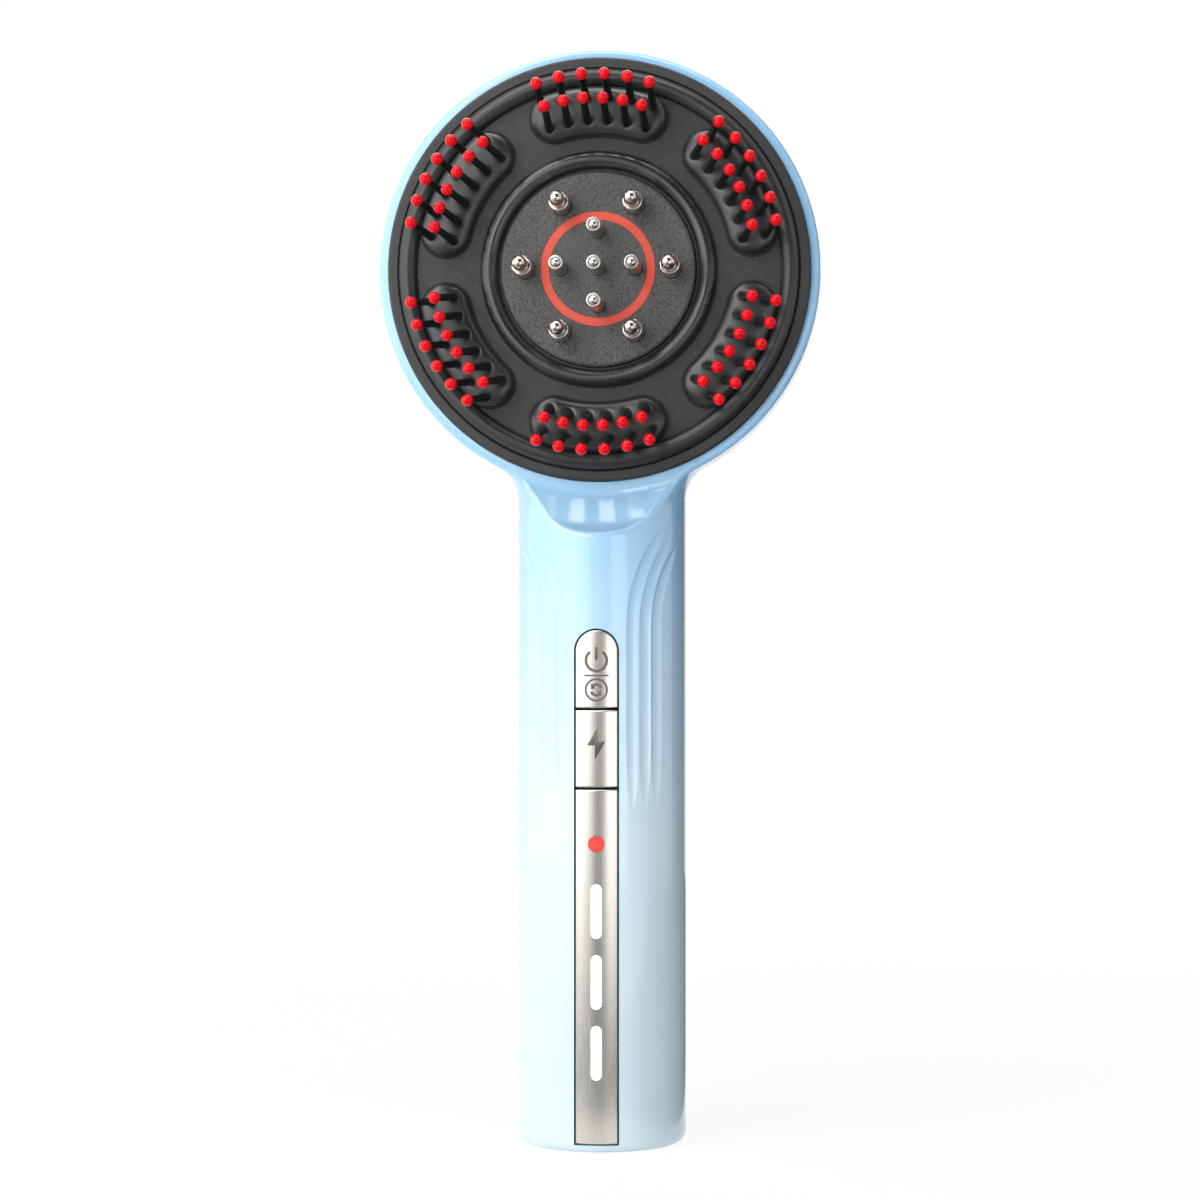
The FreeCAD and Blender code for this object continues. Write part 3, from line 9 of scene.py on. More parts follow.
import bmesh
import bpy
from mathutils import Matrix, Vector


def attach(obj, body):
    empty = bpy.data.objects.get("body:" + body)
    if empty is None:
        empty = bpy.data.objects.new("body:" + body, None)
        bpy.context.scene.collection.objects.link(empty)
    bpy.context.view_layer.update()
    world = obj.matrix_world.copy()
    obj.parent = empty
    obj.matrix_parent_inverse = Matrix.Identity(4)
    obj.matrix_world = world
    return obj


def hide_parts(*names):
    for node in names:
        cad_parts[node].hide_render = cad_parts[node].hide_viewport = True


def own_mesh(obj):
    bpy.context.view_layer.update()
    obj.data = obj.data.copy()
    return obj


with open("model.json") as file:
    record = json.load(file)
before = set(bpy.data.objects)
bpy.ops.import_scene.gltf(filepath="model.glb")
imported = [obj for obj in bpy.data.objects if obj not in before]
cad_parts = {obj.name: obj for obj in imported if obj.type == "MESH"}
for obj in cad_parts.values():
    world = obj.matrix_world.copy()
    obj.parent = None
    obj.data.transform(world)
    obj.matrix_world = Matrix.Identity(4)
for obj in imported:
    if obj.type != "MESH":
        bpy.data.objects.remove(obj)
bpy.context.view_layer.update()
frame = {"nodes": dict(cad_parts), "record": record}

MM = 0.001
FULL_TURN = 360.0
HALF_TURN = 180.0
QUARTER_TURN = 90.0

# Face of the head: places and sizes as in the solids, with softer sections
HEAD_HEIGHT = 164.7
FACE_FLOOR = 10.3
GROUP_COUNT = 6
MOUND_CIRCLE = 29.5
MOUND_HALF_WIDTH = 4.7
MOUND_HALF_ANGLE = 16.27
MOUND_HEIGHT = 3.08
MOUND_FULLNESS = 3.3
MOUND_SKIRT = 0.12
MOUND_LIFT = 0.03
MOUND_RINGS = 22
MOUND_ARC_STEPS = 56
MOUND_CAP_STEPS = 26
MOUND_WELD_METRES = 1e-6
ROW_CIRCLES = (27.475, 31.875)
BRISTLES_PER_ROW = 6
BRISTLE_STEP = 7.6
BRISTLE_LEAN = 12.0
BRISTLE_LEVEL = 13.3
SOCKET_RADIUS = 1.5
SOCKET_DEPTH = 0.22
BEAD_INNER = 18.75
BEAD_OUTER = 22.25
BEAD_HEIGHT = 2.1
BEAD_FULLNESS = 2.2
BEAD_FOOT = 0.4
BEAD_STEPS = 240
BEAD_PROFILE_STEPS = 28
BEAD_WELD_METRES = 1e-7
OUTER_BEAD_START = 34.2
OUTER_BEAD_RUN_IN = 0.5
OUTER_BEAD_END = 37.6
OUTER_BEAD_BLUR = 0.2
OUTER_BEAD_GLOSS = 0.13

# Coil springs behind the electrodes, inside the plain sleeves of the solids
ELECTRODE_COUNT = 6
ELECTRODE_CIRCLE = 13.7
SPRING_FOOT = 5.3
SPRING_TOP = 16.67
SPRING_RADIUS = 1.47
SPRING_WIRE = 0.4
SPRING_TURNS = 9
SPRING_STEPS = 24
SPRING_SIDES = 8

# Control strip, as in the solids, and the icons printed on it
STRIP_CROWN = 10.0
STRIP_AXIS = 6.15
ICON_PROUD = 0.07
ICON_DEPTH = 0.08
ICON_SLICE = 0.2
ICON_STEPS = 40
ICON_STROKE = 0.5
ICON_WELD = 1e-4
POWER_ICON_HEIGHT = 91.6
POWER_ICON_RADIUS = 1.95
POWER_ICON_GAP = 37.0
POWER_BAR_FOOT = 0.1
POWER_BAR_TOP = 2.45
DIVIDER_HEIGHT = 88.8
DIVIDER_LENGTH = 4.6
DIVIDER_STROKE = 0.3
CYCLE_ICON_HEIGHT = 86.15
CYCLE_RING_RADIUS = 2.0
CYCLE_RING_STROKE = 0.36
CYCLE_ICON_RADIUS = 0.98
CYCLE_ARC_START = 20.0
CYCLE_ARC_TURN = 105.0
CYCLE_ARROW_LENGTH = 0.85
CYCLE_ARROW_WIDTH = 1.25
BOLT_ICON_HEIGHT = 76.2
BOLT_HALF_HEIGHT = 2.95
BOLT_HALF_WIDTH = 1.7
BOLT_NOTCH_ASIDE = 0.26
BOLT_NOTCH_RISE = 0.37

# Camera
CAMERA_DISTANCE = 610.0
CAMERA_HEIGHT = 102.8
CAMERA_AZIMUTH = 4.0
CAMERA_ASIDE = -0.42
FRAME_WIDTH = 228.6
SENSOR_WIDTH = 36.0

# Colours as they are in even light
SKY_BLUE = (0.285, 0.57, 0.86)
PALE_BLUE = (0.61, 0.76, 0.84)
CHARCOAL = (0.024, 0.0235, 0.024)
LINT_GREY = (0.42, 0.41, 0.38)
RUBBER_BLACK = (0.014, 0.0135, 0.0135)
SHEEN_GREY = (0.8, 0.78, 0.76)
BRISTLE_BLACK = (0.004, 0.004, 0.004)
DISC_BLACK = (0.085, 0.080, 0.079)
CAP_BLACK = (0.085, 0.083, 0.081)
TIP_RED = (0.66, 0.003, 0.010)
TIP_SHINE = (1.0, 0.45, 0.45)
RING_RED = (0.70, 0.072, 0.036)
LENS_RED = (0.66, 0.05, 0.045)
CHAMPAGNE = (0.66, 0.63, 0.58)
CHROME = (0.58, 0.54, 0.48)
SATIN_STEEL = (0.52, 0.50, 0.47)
ICON_GREY = (0.13, 0.115, 0.10)
INNER_GREY = (0.3, 0.3, 0.31)
MASK_GREEN = (0.04, 0.22, 0.1)
RESIN_WHITE = (0.9, 0.88, 0.8)
WRAP_BLUE = (0.1, 0.25, 0.5)
STEEL_GREY = (0.55, 0.55, 0.55)
BRASS_YELLOW = (0.72, 0.55, 0.25)
SILICONE_GREY = (0.6, 0.6, 0.6)
JACKET_CREAM = (0.75, 0.72, 0.65)
WHITE = (1.0, 1.0, 1.0)
SURROUND_WHITE = (0.97, 0.985, 1.0)
FLOOR_WHITE = (0.92, 0.92, 0.92)
CARD_BLACK = (0.03, 0.04, 0.05)

# Heights between which the casing turns from pale to sky blue
PALE_UP_TO = 35.0
SKY_FROM = 145.0

# How deep red, green and blue light go into the red balls
TIP_GLOW_REACH = (0.6, 0.1, 0.1)

# Range that most values of a noise lie in, and how much broader a surface's drift is than its grain
NOISE_LOW = 0.3
NOISE_HIGH = 0.7
DRIFT_SPREAD = 25

# Sockets of a mix node that hold colours, and those of a range node
MIX_FIRST = 6
MIX_SECOND = 7
MIX_RESULT = 2
RANGE_SOCKETS = ("From Min", "From Max", "To Min", "To Max")


# Material helpers


def opaque(colour):
    """A colour with full cover, as colour sockets take it."""
    return (*colour, 1.0)


def shaded(colour, factor):
    """A colour made darker or lighter by a factor, up to white."""
    return tuple(min(1.0, channel * factor) for channel in colour)


def map_range(tree, value, low, high, new_low=0.0, new_high=1.0):
    """A value carried smoothly from one range to another, and kept inside it."""
    node = tree.nodes.new("ShaderNodeMapRange")
    node.interpolation_type = "SMOOTHSTEP"
    tree.links.new(value, node.inputs["Value"])
    for socket, number in zip(RANGE_SOCKETS, (low, high, new_low, new_high)):
        node.inputs[socket].default_value = number
    return node.outputs["Result"]


class Shader:
    """A material with one principled shader, and short ways to add detail to it."""

    def __init__(self, name, colour, roughness, **values):
        self.material = bpy.data.materials.new(name)
        self.material.use_nodes = True
        self.tree = self.material.node_tree
        self.nodes = self.tree.nodes
        self.links = self.tree.links
        self.principled = self.nodes["Principled BSDF"]
        self.set("Base Color", opaque(colour))
        self.set("Roughness", roughness)
        for socket, value in values.items():
            self.set(socket.replace("_", " "), value)
        self.place = self.nodes.new("ShaderNodeTexCoord").outputs["Object"]

    def set(self, socket, value):
        self.principled.inputs[socket].default_value = value

    def noise(self, size, detail=3.0, place=None):
        """Noise whose blobs are about one size across."""
        node = self.nodes.new("ShaderNodeTexNoise")
        node.inputs["Scale"].default_value = 1.0 / (size * MM)
        node.inputs["Detail"].default_value = detail
        if place is None:
            place = self.place
        self.links.new(place, node.inputs["Vector"])
        return node.outputs["Fac"]

    def cells(self, size):
        """Rounded cells of about one size, as in a leather grain."""
        node = self.nodes.new("ShaderNodeTexVoronoi")
        node.feature = "SMOOTH_F1"
        node.inputs["Scale"].default_value = 1.0 / (size * MM)
        self.links.new(self.place, node.inputs["Vector"])
        return node.outputs["Distance"]

    def math(self, operation, first, second=0.0):
        """A sum or the like of numbers or outputs."""
        node = self.nodes.new("ShaderNodeMath")
        node.operation = operation
        for socket, value in zip(node.inputs, (first, second)):
            if isinstance(value, (int, float)):
                socket.default_value = value
            else:
                self.links.new(value, socket)
        return node.outputs["Value"]

    def spread(self, value, low, high, new_low=0.0, new_high=1.0):
        """A value carried from one range to another, and kept inside it."""
        return map_range(self.tree, value, low, high, new_low, new_high)

    def mix(self, share, first, second):
        """A colour between two colours or colour outputs."""
        node = self.nodes.new("ShaderNodeMix")
        node.data_type = "RGBA"
        self.links.new(share, node.inputs["Factor"])
        for socket, colour in zip((node.inputs[MIX_FIRST], node.inputs[MIX_SECOND]), (first, second)):
            if isinstance(colour, tuple):
                socket.default_value = opaque(colour)
            else:
                self.links.new(colour, socket)
        return node.outputs[MIX_RESULT]

    def axis(self, name):
        """One coordinate of the surface, in metres."""
        node = self.nodes.new("ShaderNodeSeparateXYZ")
        self.links.new(self.place, node.inputs["Vector"])
        return node.outputs[name]

    def head_radius(self):
        """Distance from the head's axis, in metres."""
        up = self.math("SUBTRACT", self.axis("Z"), HEAD_HEIGHT * MM)
        across = self.axis("X")
        square = self.math("ADD", self.math("MULTIPLY", up, up), self.math("MULTIPLY", across, across))
        return self.math("SQRT", square)

    def colour(self, output):
        self.links.new(output, self.principled.inputs["Base Color"])

    def rough(self, output):
        self.links.new(output, self.principled.inputs["Roughness"])

    def bump(self, height, depth, strength=1.0):
        """A relief of some depth, on top of any relief added before. Its strength may vary."""
        node = self.nodes.new("ShaderNodeBump")
        node.inputs["Distance"].default_value = depth * MM
        if isinstance(strength, (int, float)):
            node.inputs["Strength"].default_value = strength
        else:
            self.links.new(strength, node.inputs["Strength"])
        self.links.new(height, node.inputs["Height"])
        normal = self.principled.inputs["Normal"]
        if normal.is_linked:
            self.links.new(normal.links[0].from_socket, node.inputs["Normal"])
        self.links.new(node.outputs["Normal"], normal)


def grained(name, colour, roughness, grain, depth, wander=0.08, tint=0.12, **values):
    """A plain moulded or metal surface: fine relief, uneven gloss and a faint drift of its colour."""
    shader = Shader(name, colour, roughness, **values)
    fine = shader.noise(grain)
    broad = shader.noise(grain * DRIFT_SPREAD, detail=2.0)
    shader.bump(fine, depth)
    shader.rough(shader.spread(broad, NOISE_LOW, NOISE_HIGH, roughness - wander, roughness + wander))
    shader.colour(shader.mix(broad, shaded(colour, 1 - tint), shaded(colour, 1 + tint)))
    return shader


# Materials


def sky_blue_plastic():
    """Glossy lacquered plastic, paler towards the foot, with a faint ripple under a clear coat."""
    shader = Shader("sky_blue_plastic", SKY_BLUE, roughness=0.4, Specular_IOR_Level=0.9)
    shader.set("Coat Weight", 1.0)
    shader.set("Coat Roughness", 0.08)
    shader.set("Coat IOR", 1.5)
    height = shader.spread(shader.axis("Z"), PALE_UP_TO * MM, SKY_FROM * MM)
    patches = shader.noise(size=14.0, detail=2.0)
    drift = shader.spread(patches, low=0.35, high=0.65, new_low=-0.03, new_high=0.03)
    shader.colour(shader.mix(shader.math("ADD", height, drift), PALE_BLUE, SKY_BLUE))
    shader.rough(shader.spread(shader.noise(size=5.0), NOISE_LOW, NOISE_HIGH, new_low=0.38, new_high=0.45))
    shader.bump(shader.noise(size=1.2), depth=0.0025)
    shader.bump(shader.noise(size=0.12), depth=0.0006)
    return shader


def on_outer_bead(shader):
    """One on the face's round outer bead, else zero."""
    radius = shader.head_radius()
    past_start = shader.spread(radius, OUTER_BEAD_START * MM, (OUTER_BEAD_START + OUTER_BEAD_RUN_IN) * MM)
    end_low = (OUTER_BEAD_END - OUTER_BEAD_BLUR) * MM
    end_high = (OUTER_BEAD_END + OUTER_BEAD_BLUR) * MM
    past_end = shader.spread(radius, end_low, end_high)
    return shader.math("SUBTRACT", past_start, past_end)


def face_plastic():
    """Charcoal plastic with a fine spark grain, smooth on the round bead, with a few specks of lint."""
    shader = Shader("face_plastic", CHARCOAL, roughness=0.5)
    on_bead = on_outer_bead(shader)
    grain_share = shader.math("SUBTRACT", 1.0, on_bead)
    specks = shader.spread(shader.noise(size=0.35, detail=1.0), low=0.75, high=0.79, new_high=0.5)
    shade = shader.mix(shader.noise(size=6.0), shaded(CHARCOAL, 0.85), shaded(CHARCOAL, 1.15))
    shader.colour(shader.mix(specks, shade, LINT_GREY))
    rough = shader.spread(shader.noise(size=2.0), NOISE_LOW, NOISE_HIGH, new_low=0.43, new_high=0.51)
    shader.rough(shader.math("SUBTRACT", rough, shader.math("MULTIPLY", on_bead, OUTER_BEAD_GLOSS)))
    shader.bump(shader.noise(size=0.16), depth=0.012, strength=grain_share)
    return shader


def soft_rubber(name, roughness):
    """Black silicone rubber with a soft sheen."""
    shader = grained(name, RUBBER_BLACK, roughness, grain=0.25, depth=0.002, wander=0.06, tint=0.2)
    shader.set("Sheen Weight", 0.12)
    shader.set("Sheen Roughness", 0.4)
    shader.set("Sheen Tint", opaque(SHEEN_GREY))
    shader.set("Specular IOR Level", 0.75)
    return shader


def leather_plastic(name, colour, size, depth):
    """A leather-like grain with cells of about one size, with painted shade in its creases and painted light
    in the middles of its cells.
    """
    shader = Shader(name, colour, roughness=0.5)
    cells = shader.cells(size)
    crumbs = shader.noise(size / 2)
    shader.bump(cells, depth)
    shader.bump(crumbs, depth / 2)
    shader.rough(shader.spread(cells, low=0.1, high=0.6, new_low=0.42, new_high=0.58))
    # Painted light and shade: the creases between the cells are darker and the middles of the cells lighter.
    crease_shade = shader.spread(cells, low=0.2, high=0.7)
    shader.colour(shader.mix(crease_shade, shaded(colour, 1.2), shaded(colour, 0.72)))
    return shader


def bristle_nylon():
    """Smooth black nylon."""
    return grained("bristle_nylon", BRISTLE_BLACK, 0.34, grain=0.2, depth=0.001, wander=0.05, tint=0.2)


def ball_red():
    """Glossy red drops on the bristles, slightly clear."""
    shader = grained("ball_red", TIP_RED, roughness=0.11, grain=0.3, depth=0.0003, wander=0.03, tint=0.1)
    shader.set("Specular IOR Level", 0.4)
    shader.set("Specular Tint", opaque(TIP_SHINE))
    shader.set("Subsurface Weight", 0.08)
    shader.set("Subsurface Radius", tuple(reach * MM for reach in TIP_GLOW_REACH))
    return shader


def lit(name, colour, roughness, strength):
    """A surface that glows with its own colour. The bars and the lens are diffusers that glow; on the red ring
    the glow is painted light.
    """
    shader = grained(name, colour, roughness, grain=0.3, depth=0.002, wander=0.05, tint=0.03)
    shader.set("Emission Color", opaque(colour))
    shader.set("Emission Strength", strength)
    return shader


def bright_metal(name, colour, roughness, grain, depth, wander, tint):
    """Polished or satin metal."""
    return grained(name, colour, roughness, grain, depth, wander, tint, Metallic=1.0)


def brushed_nickel():
    """Satin champagne nickel, faintly brushed along the handle."""
    shader = Shader("brushed_nickel", CHAMPAGNE, roughness=0.25, Metallic=1.0)
    squeeze = shader.nodes.new("ShaderNodeMapping")
    squeeze.inputs["Scale"].default_value = (1.0, 1.0, 0.02)
    shader.links.new(shader.place, squeeze.inputs["Vector"])
    lines = shader.noise(size=0.09, detail=2.0, place=squeeze.outputs["Vector"])
    shader.bump(lines, depth=0.0003)
    shader.rough(shader.spread(lines, NOISE_LOW, NOISE_HIGH, new_low=0.23, new_high=0.28))
    shader.colour(shader.mix(lines, shaded(CHAMPAGNE, 0.97), shaded(CHAMPAGNE, 1.03)))
    return shader


def make_shaders():
    """One shader for each material slot of the record."""
    return {
        "sky_blue_plastic": sky_blue_plastic(),
        "black_plastic": face_plastic(),
        "black_rubber": soft_rubber("mound_rubber", roughness=0.36),
        "bristle_black": bristle_nylon(),
        "red_tip": ball_red(),
        "textured_black": leather_plastic("disc_leather", DISC_BLACK, size=0.46, depth=0.16),
        "smooth_black": leather_plastic("cap_leather", CAP_BLACK, size=0.34, depth=0.06),
        # The red ring is not lit: its faint glow is painted light that brightens its red.
        "red_ring": lit("ring_red_painted_glow", RING_RED, roughness=0.36, strength=0.06),
        "satin_steel": bright_metal(
            "satin_steel", SATIN_STEEL, roughness=0.22, grain=0.3, depth=0.001, wander=0.05, tint=0.05
        ),
        "chrome": bright_metal(
            "chrome", CHROME, roughness=0.16, grain=0.5, depth=0.0008, wander=0.03, tint=0.04
        ),
        "champagne_nickel": brushed_nickel(),
        "white_light": lit("bar_light", WHITE, roughness=0.35, strength=0.9),
        "red_lens": lit("lens_red", LENS_RED, roughness=0.3, strength=0.2),
        "inner_plastic": grained("inner_plastic", INNER_GREY, roughness=0.5, grain=0.3, depth=0.006),
        "circuit_green": grained("solder_mask", MASK_GREEN, roughness=0.35, grain=0.6, depth=0.004),
        "diode_white": grained("diode_resin", RESIN_WHITE, roughness=0.2, grain=0.3, depth=0.002),
        "battery_wrap": grained("battery_wrap", WRAP_BLUE, roughness=0.35, grain=1.5, depth=0.004),
        "steel": grained("plain_steel", STEEL_GREY, roughness=0.33, grain=0.25, depth=0.002, Metallic=1.0),
        "brass": grained("brass", BRASS_YELLOW, roughness=0.3, grain=0.25, depth=0.002, Metallic=1.0),
        "silicone": grained("silicone", SILICONE_GREY, roughness=0.55, grain=0.3, depth=0.003),
        "cable": grained("cable_jacket", JACKET_CREAM, roughness=0.5, grain=0.3, depth=0.003),
    }


def dress_nodes(shaders):
    """Give each solid the material of its slot."""
    for subpart in frame["record"]["subparts"]:
        mesh = frame["nodes"][subpart["node"]].data
        mesh.materials.clear()
        mesh.materials.append(shaders[subpart["material_slot"]].material)


# Pieces that scene.py adds


def polar(radius, angle):
    """A flat point at a distance and an angle from the middle."""
    bearing = math.radians(angle)
    return Vector((radius * math.cos(bearing), radius * math.sin(bearing)))


def on_face(point, level):
    """A place on the head's face, from a flat point and a level."""
    return Vector((point.x, -level, HEAD_HEIGHT + point.y)) * MM


def add_piece(name, mesh, shader, body):
    """Turn a bmesh into an object with smooth shading that rides on a body."""
    data = bpy.data.meshes.new(name)
    bmesh.ops.recalc_face_normals(mesh, faces=mesh.faces)
    mesh.to_mesh(data)
    mesh.free()
    for polygon in data.polygons:
        polygon.use_smooth = True
    data.materials.append(shader.material)
    piece = bpy.data.objects.new(name, data)
    bpy.context.scene.collection.objects.link(piece)
    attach(piece, body)
    return piece


def stitch(mesh, rings):
    """Join closed rings of vertices with faces, ring by ring."""
    for lower, upper in zip(rings, rings[1:]):
        for index in range(len(lower)):
            after = (index + 1) % len(lower)
            mesh.faces.new((lower[index], lower[after], upper[after], upper[index]))


def direction_behind(angle, direction):
    """The outward direction on the far side of a mound, opposite a point of its near side."""
    turned = direction - angle
    return HALF_TURN - angle + turned


def mound_outline():
    """The spine angle and the outward direction at each point round a mound, centred on angle zero."""
    places = []
    for step in range(MOUND_ARC_STEPS):
        angle = MOUND_HALF_ANGLE * (2 * step / MOUND_ARC_STEPS - 1)
        places.append((angle, angle))
    for step in range(MOUND_CAP_STEPS):
        places.append((MOUND_HALF_ANGLE, MOUND_HALF_ANGLE + HALF_TURN * step / MOUND_CAP_STEPS))
    for angle, direction in places[:]:
        places.append((-angle, direction_behind(angle, direction)))
    return places


def mound_levels():
    """The reach from the spine and the rise above the floor of each ring of a mound, from skirt to top."""
    skirt = MOUND_HALF_WIDTH + MOUND_SKIRT
    base = 2 * MOUND_LIFT
    levels = [(skirt, -MOUND_LIFT), (skirt, MOUND_LIFT)]
    for ring in range(MOUND_RINGS + 1):
        bend = math.radians(QUARTER_TURN) * ring / MOUND_RINGS
        reach = max(0.0, math.cos(bend)) ** (2 / MOUND_FULLNESS)
        rise = math.sin(bend) ** (2 / MOUND_FULLNESS)
        levels.append((MOUND_HALF_WIDTH * reach, base + (MOUND_HEIGHT - base) * rise))
    return levels


def socket_dips(point):
    """How far the bristle sockets sink the mound's top at a flat point."""
    lean = math.tan(math.radians(BRISTLE_LEAN))
    top = FACE_FLOOR + MOUND_HEIGHT
    dip = 0.0
    for circle in ROW_CIRCLES:
        for index in range(BRISTLES_PER_ROW):
            root = polar(circle, BRISTLE_STEP * (index - (BRISTLES_PER_ROW - 1) / 2))
            root.x += lean * (top - BRISTLE_LEVEL)
            share = (point - root).length / SOCKET_RADIUS
            if share < 1:
                dip = max(dip, SOCKET_DEPTH * (1 - share ** 2) ** 2)
    return dip


def mound(number, shader):
    """A full, soft kidney-shaped mound in place of a plain cushion solid."""
    turn = QUARTER_TURN - FULL_TURN / GROUP_COUNT * (number - 1)
    outline = mound_outline()
    mesh = bmesh.new()
    rings = []
    for reach, rise in mound_levels():
        ring = []
        for angle, direction in outline:
            flat = polar(MOUND_CIRCLE, angle) + polar(reach, direction)
            level = FACE_FLOOR + rise - socket_dips(flat)
            place = polar(flat.length, math.degrees(math.atan2(flat.y, flat.x)) + turn)
            ring.append(mesh.verts.new(on_face(place, level)))
        rings.append(ring)
    stitch(mesh, rings)
    mesh.faces.new(rings[0])
    bmesh.ops.remove_doubles(mesh, verts=mesh.verts, dist=MOUND_WELD_METRES)
    piece = add_piece("mound_%d" % number, mesh, shader, "casing")
    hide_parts("cushion_%d" % number)


def bead_profile():
    """The reach from the bead's middle line and the rise above the floor, from outer to inner foot."""
    half = (BEAD_OUTER - BEAD_INNER) / 2
    profile = [(half, -BEAD_FOOT)]
    for step in range(BEAD_PROFILE_STEPS + 1):
        bend = math.radians(HALF_TURN) * step / BEAD_PROFILE_STEPS
        reach = math.copysign(abs(math.cos(bend)) ** (2 / BEAD_FULLNESS), math.cos(bend))
        profile.append((half * reach, BEAD_HEIGHT * max(0.0, math.sin(bend)) ** (2 / BEAD_FULLNESS)))
    profile.append((-half, -BEAD_FOOT))
    return profile


def soft_bead(shader):
    """The round rubber bead about the centre disc, in place of its plain solid."""
    middle = (BEAD_INNER + BEAD_OUTER) / 2
    angles = [FULL_TURN * step / BEAD_STEPS for step in range(BEAD_STEPS)]
    profile = bead_profile()
    mesh = bmesh.new()
    rings = []
    for reach, rise in profile + profile[:1]:
        ring = [mesh.verts.new(on_face(polar(middle + reach, angle), FACE_FLOOR + rise)) for angle in angles]
        rings.append(ring)
    stitch(mesh, rings)
    bmesh.ops.remove_doubles(mesh, verts=mesh.verts, dist=BEAD_WELD_METRES)
    piece = add_piece("soft_bead", mesh, shader, "casing")
    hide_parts("bead_ring")


def spring(number, shader):
    """The coil spring behind an electrode, in place of its plain sleeve.
    """
    centre = polar(ELECTRODE_CIRCLE, FULL_TURN / ELECTRODE_COUNT * (number - 1))
    half_wire = SPRING_WIRE / 2
    length = SPRING_TOP - SPRING_FOOT
    count = SPRING_TURNS * SPRING_STEPS
    sections = [polar(half_wire, FULL_TURN * side / SPRING_SIDES) for side in range(SPRING_SIDES)]
    mesh = bmesh.new()
    rings = []
    for step in range(count + 1):
        angle = FULL_TURN * step / SPRING_STEPS
        level = SPRING_FOOT + half_wire + (length - SPRING_WIRE) * step / count
        ring = []
        for section in sections:
            flat = centre + polar(SPRING_RADIUS - half_wire + section.x, angle)
            ring.append(mesh.verts.new(on_face(flat, level + section.y)))
        rings.append(ring)
    stitch(mesh, rings)
    mesh.faces.new(rings[0])
    mesh.faces.new(rings[-1])
    piece = add_piece("spring_%d" % number, mesh, shader, "casing")
    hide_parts("electrode_springs")
    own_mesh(piece)


def arc_stroke(centre, radius, start, end, width):
    """A bent stroke as four-cornered pieces."""
    angles = [start + (end - start) * step / ICON_STEPS for step in range(ICON_STEPS + 1)]
    inner = [centre + polar(radius - width / 2, angle) for angle in angles]
    outer = [centre + polar(radius + width / 2, angle) for angle in angles]
    return [[inner[n], outer[n], outer[n + 1], inner[n + 1]] for n in range(ICON_STEPS)]


def bar_stroke(low, high, half_width):
    """An upright or lying bar across the strip's middle line, between two heights."""
    return [[Vector((-half_width, low)), Vector((half_width, low)),
             Vector((half_width, high)), Vector((-half_width, high))]]


def icon(name, pieces, shader, body):
    """Printed ink on the strip: flat outlines sliced upright and laid on the strip's round front."""
    mesh = bmesh.new()
    for outline in pieces:
        mesh.faces.new([mesh.verts.new((corner.x, 0.0, corner.y)) for corner in outline])
    bmesh.ops.remove_doubles(mesh, verts=mesh.verts, dist=ICON_WELD)
    reach = max(abs(vertex.co.x) for vertex in mesh.verts)
    slices = int(reach / ICON_SLICE)
    for step in range(-slices, slices + 1):
        parts = mesh.verts[:] + mesh.edges[:] + mesh.faces[:]
        bmesh.ops.bisect_plane(mesh, geom=parts, plane_co=(step * ICON_SLICE, 0, 0), plane_no=(1, 0, 0))
    for vertex in mesh.verts:
        front = STRIP_AXIS + math.sqrt((STRIP_CROWN + ICON_PROUD) ** 2 - vertex.co.x ** 2)
        vertex.co = Vector((vertex.co.x, -front, vertex.co.z)) * MM
    piece = add_piece(name, mesh, shader, body)
    depth = piece.modifiers.new("depth", "SOLIDIFY")
    depth.thickness = ICON_DEPTH * MM
    depth.offset = -1.0


def power_icon(shader):
    """A broken ring with an upright bar, and a line under it."""
    centre = Vector((0.0, POWER_ICON_HEIGHT))
    start = QUARTER_TURN + POWER_ICON_GAP
    end = QUARTER_TURN + FULL_TURN - POWER_ICON_GAP
    pieces = arc_stroke(centre, POWER_ICON_RADIUS, start, end, ICON_STROKE)
    foot = POWER_ICON_HEIGHT + POWER_BAR_FOOT
    pieces += bar_stroke(foot, POWER_ICON_HEIGHT + POWER_BAR_TOP, ICON_STROKE / 2)
    half_line = DIVIDER_STROKE / 2
    pieces += bar_stroke(DIVIDER_HEIGHT - half_line, DIVIDER_HEIGHT + half_line, DIVIDER_LENGTH / 2)
    icon("power_icon", pieces, shader, "power_button")


def cycle_icon(shader):
    """Two bent arrows that chase each other in a ring: a plain sign for changing the mode."""
    centre = Vector((0.0, CYCLE_ICON_HEIGHT))
    pieces = arc_stroke(centre, CYCLE_RING_RADIUS, 0.0, FULL_TURN, CYCLE_RING_STROKE)
    for start in (CYCLE_ARC_START, CYCLE_ARC_START + HALF_TURN):
        end = start + CYCLE_ARC_TURN
        pieces += arc_stroke(centre, CYCLE_ICON_RADIUS, start, end, ICON_STROKE)
        tip_turn = math.degrees(CYCLE_ARROW_LENGTH / CYCLE_ICON_RADIUS)
        inner = centre + polar(CYCLE_ICON_RADIUS - CYCLE_ARROW_WIDTH / 2, end)
        outer = centre + polar(CYCLE_ICON_RADIUS + CYCLE_ARROW_WIDTH / 2, end)
        pieces.append([inner, outer, centre + polar(CYCLE_ICON_RADIUS, end + tip_turn)])
    icon("cycle_icon", pieces, shader, "power_button")


def bolt_icon(shader):
    """A lightning bolt."""
    upper = [
        Vector((BOLT_NOTCH_ASIDE, BOLT_HALF_HEIGHT)),
        Vector((-BOLT_HALF_WIDTH, -BOLT_NOTCH_RISE)),
        Vector((-BOLT_NOTCH_ASIDE, -BOLT_NOTCH_RISE)),
    ]
    outline = [point + Vector((0.0, BOLT_ICON_HEIGHT)) for point in upper + [point * -1 for point in upper]]
    icon("bolt_icon", [outline], shader, "pulse_button")


# Studio, with places and sizes in metres


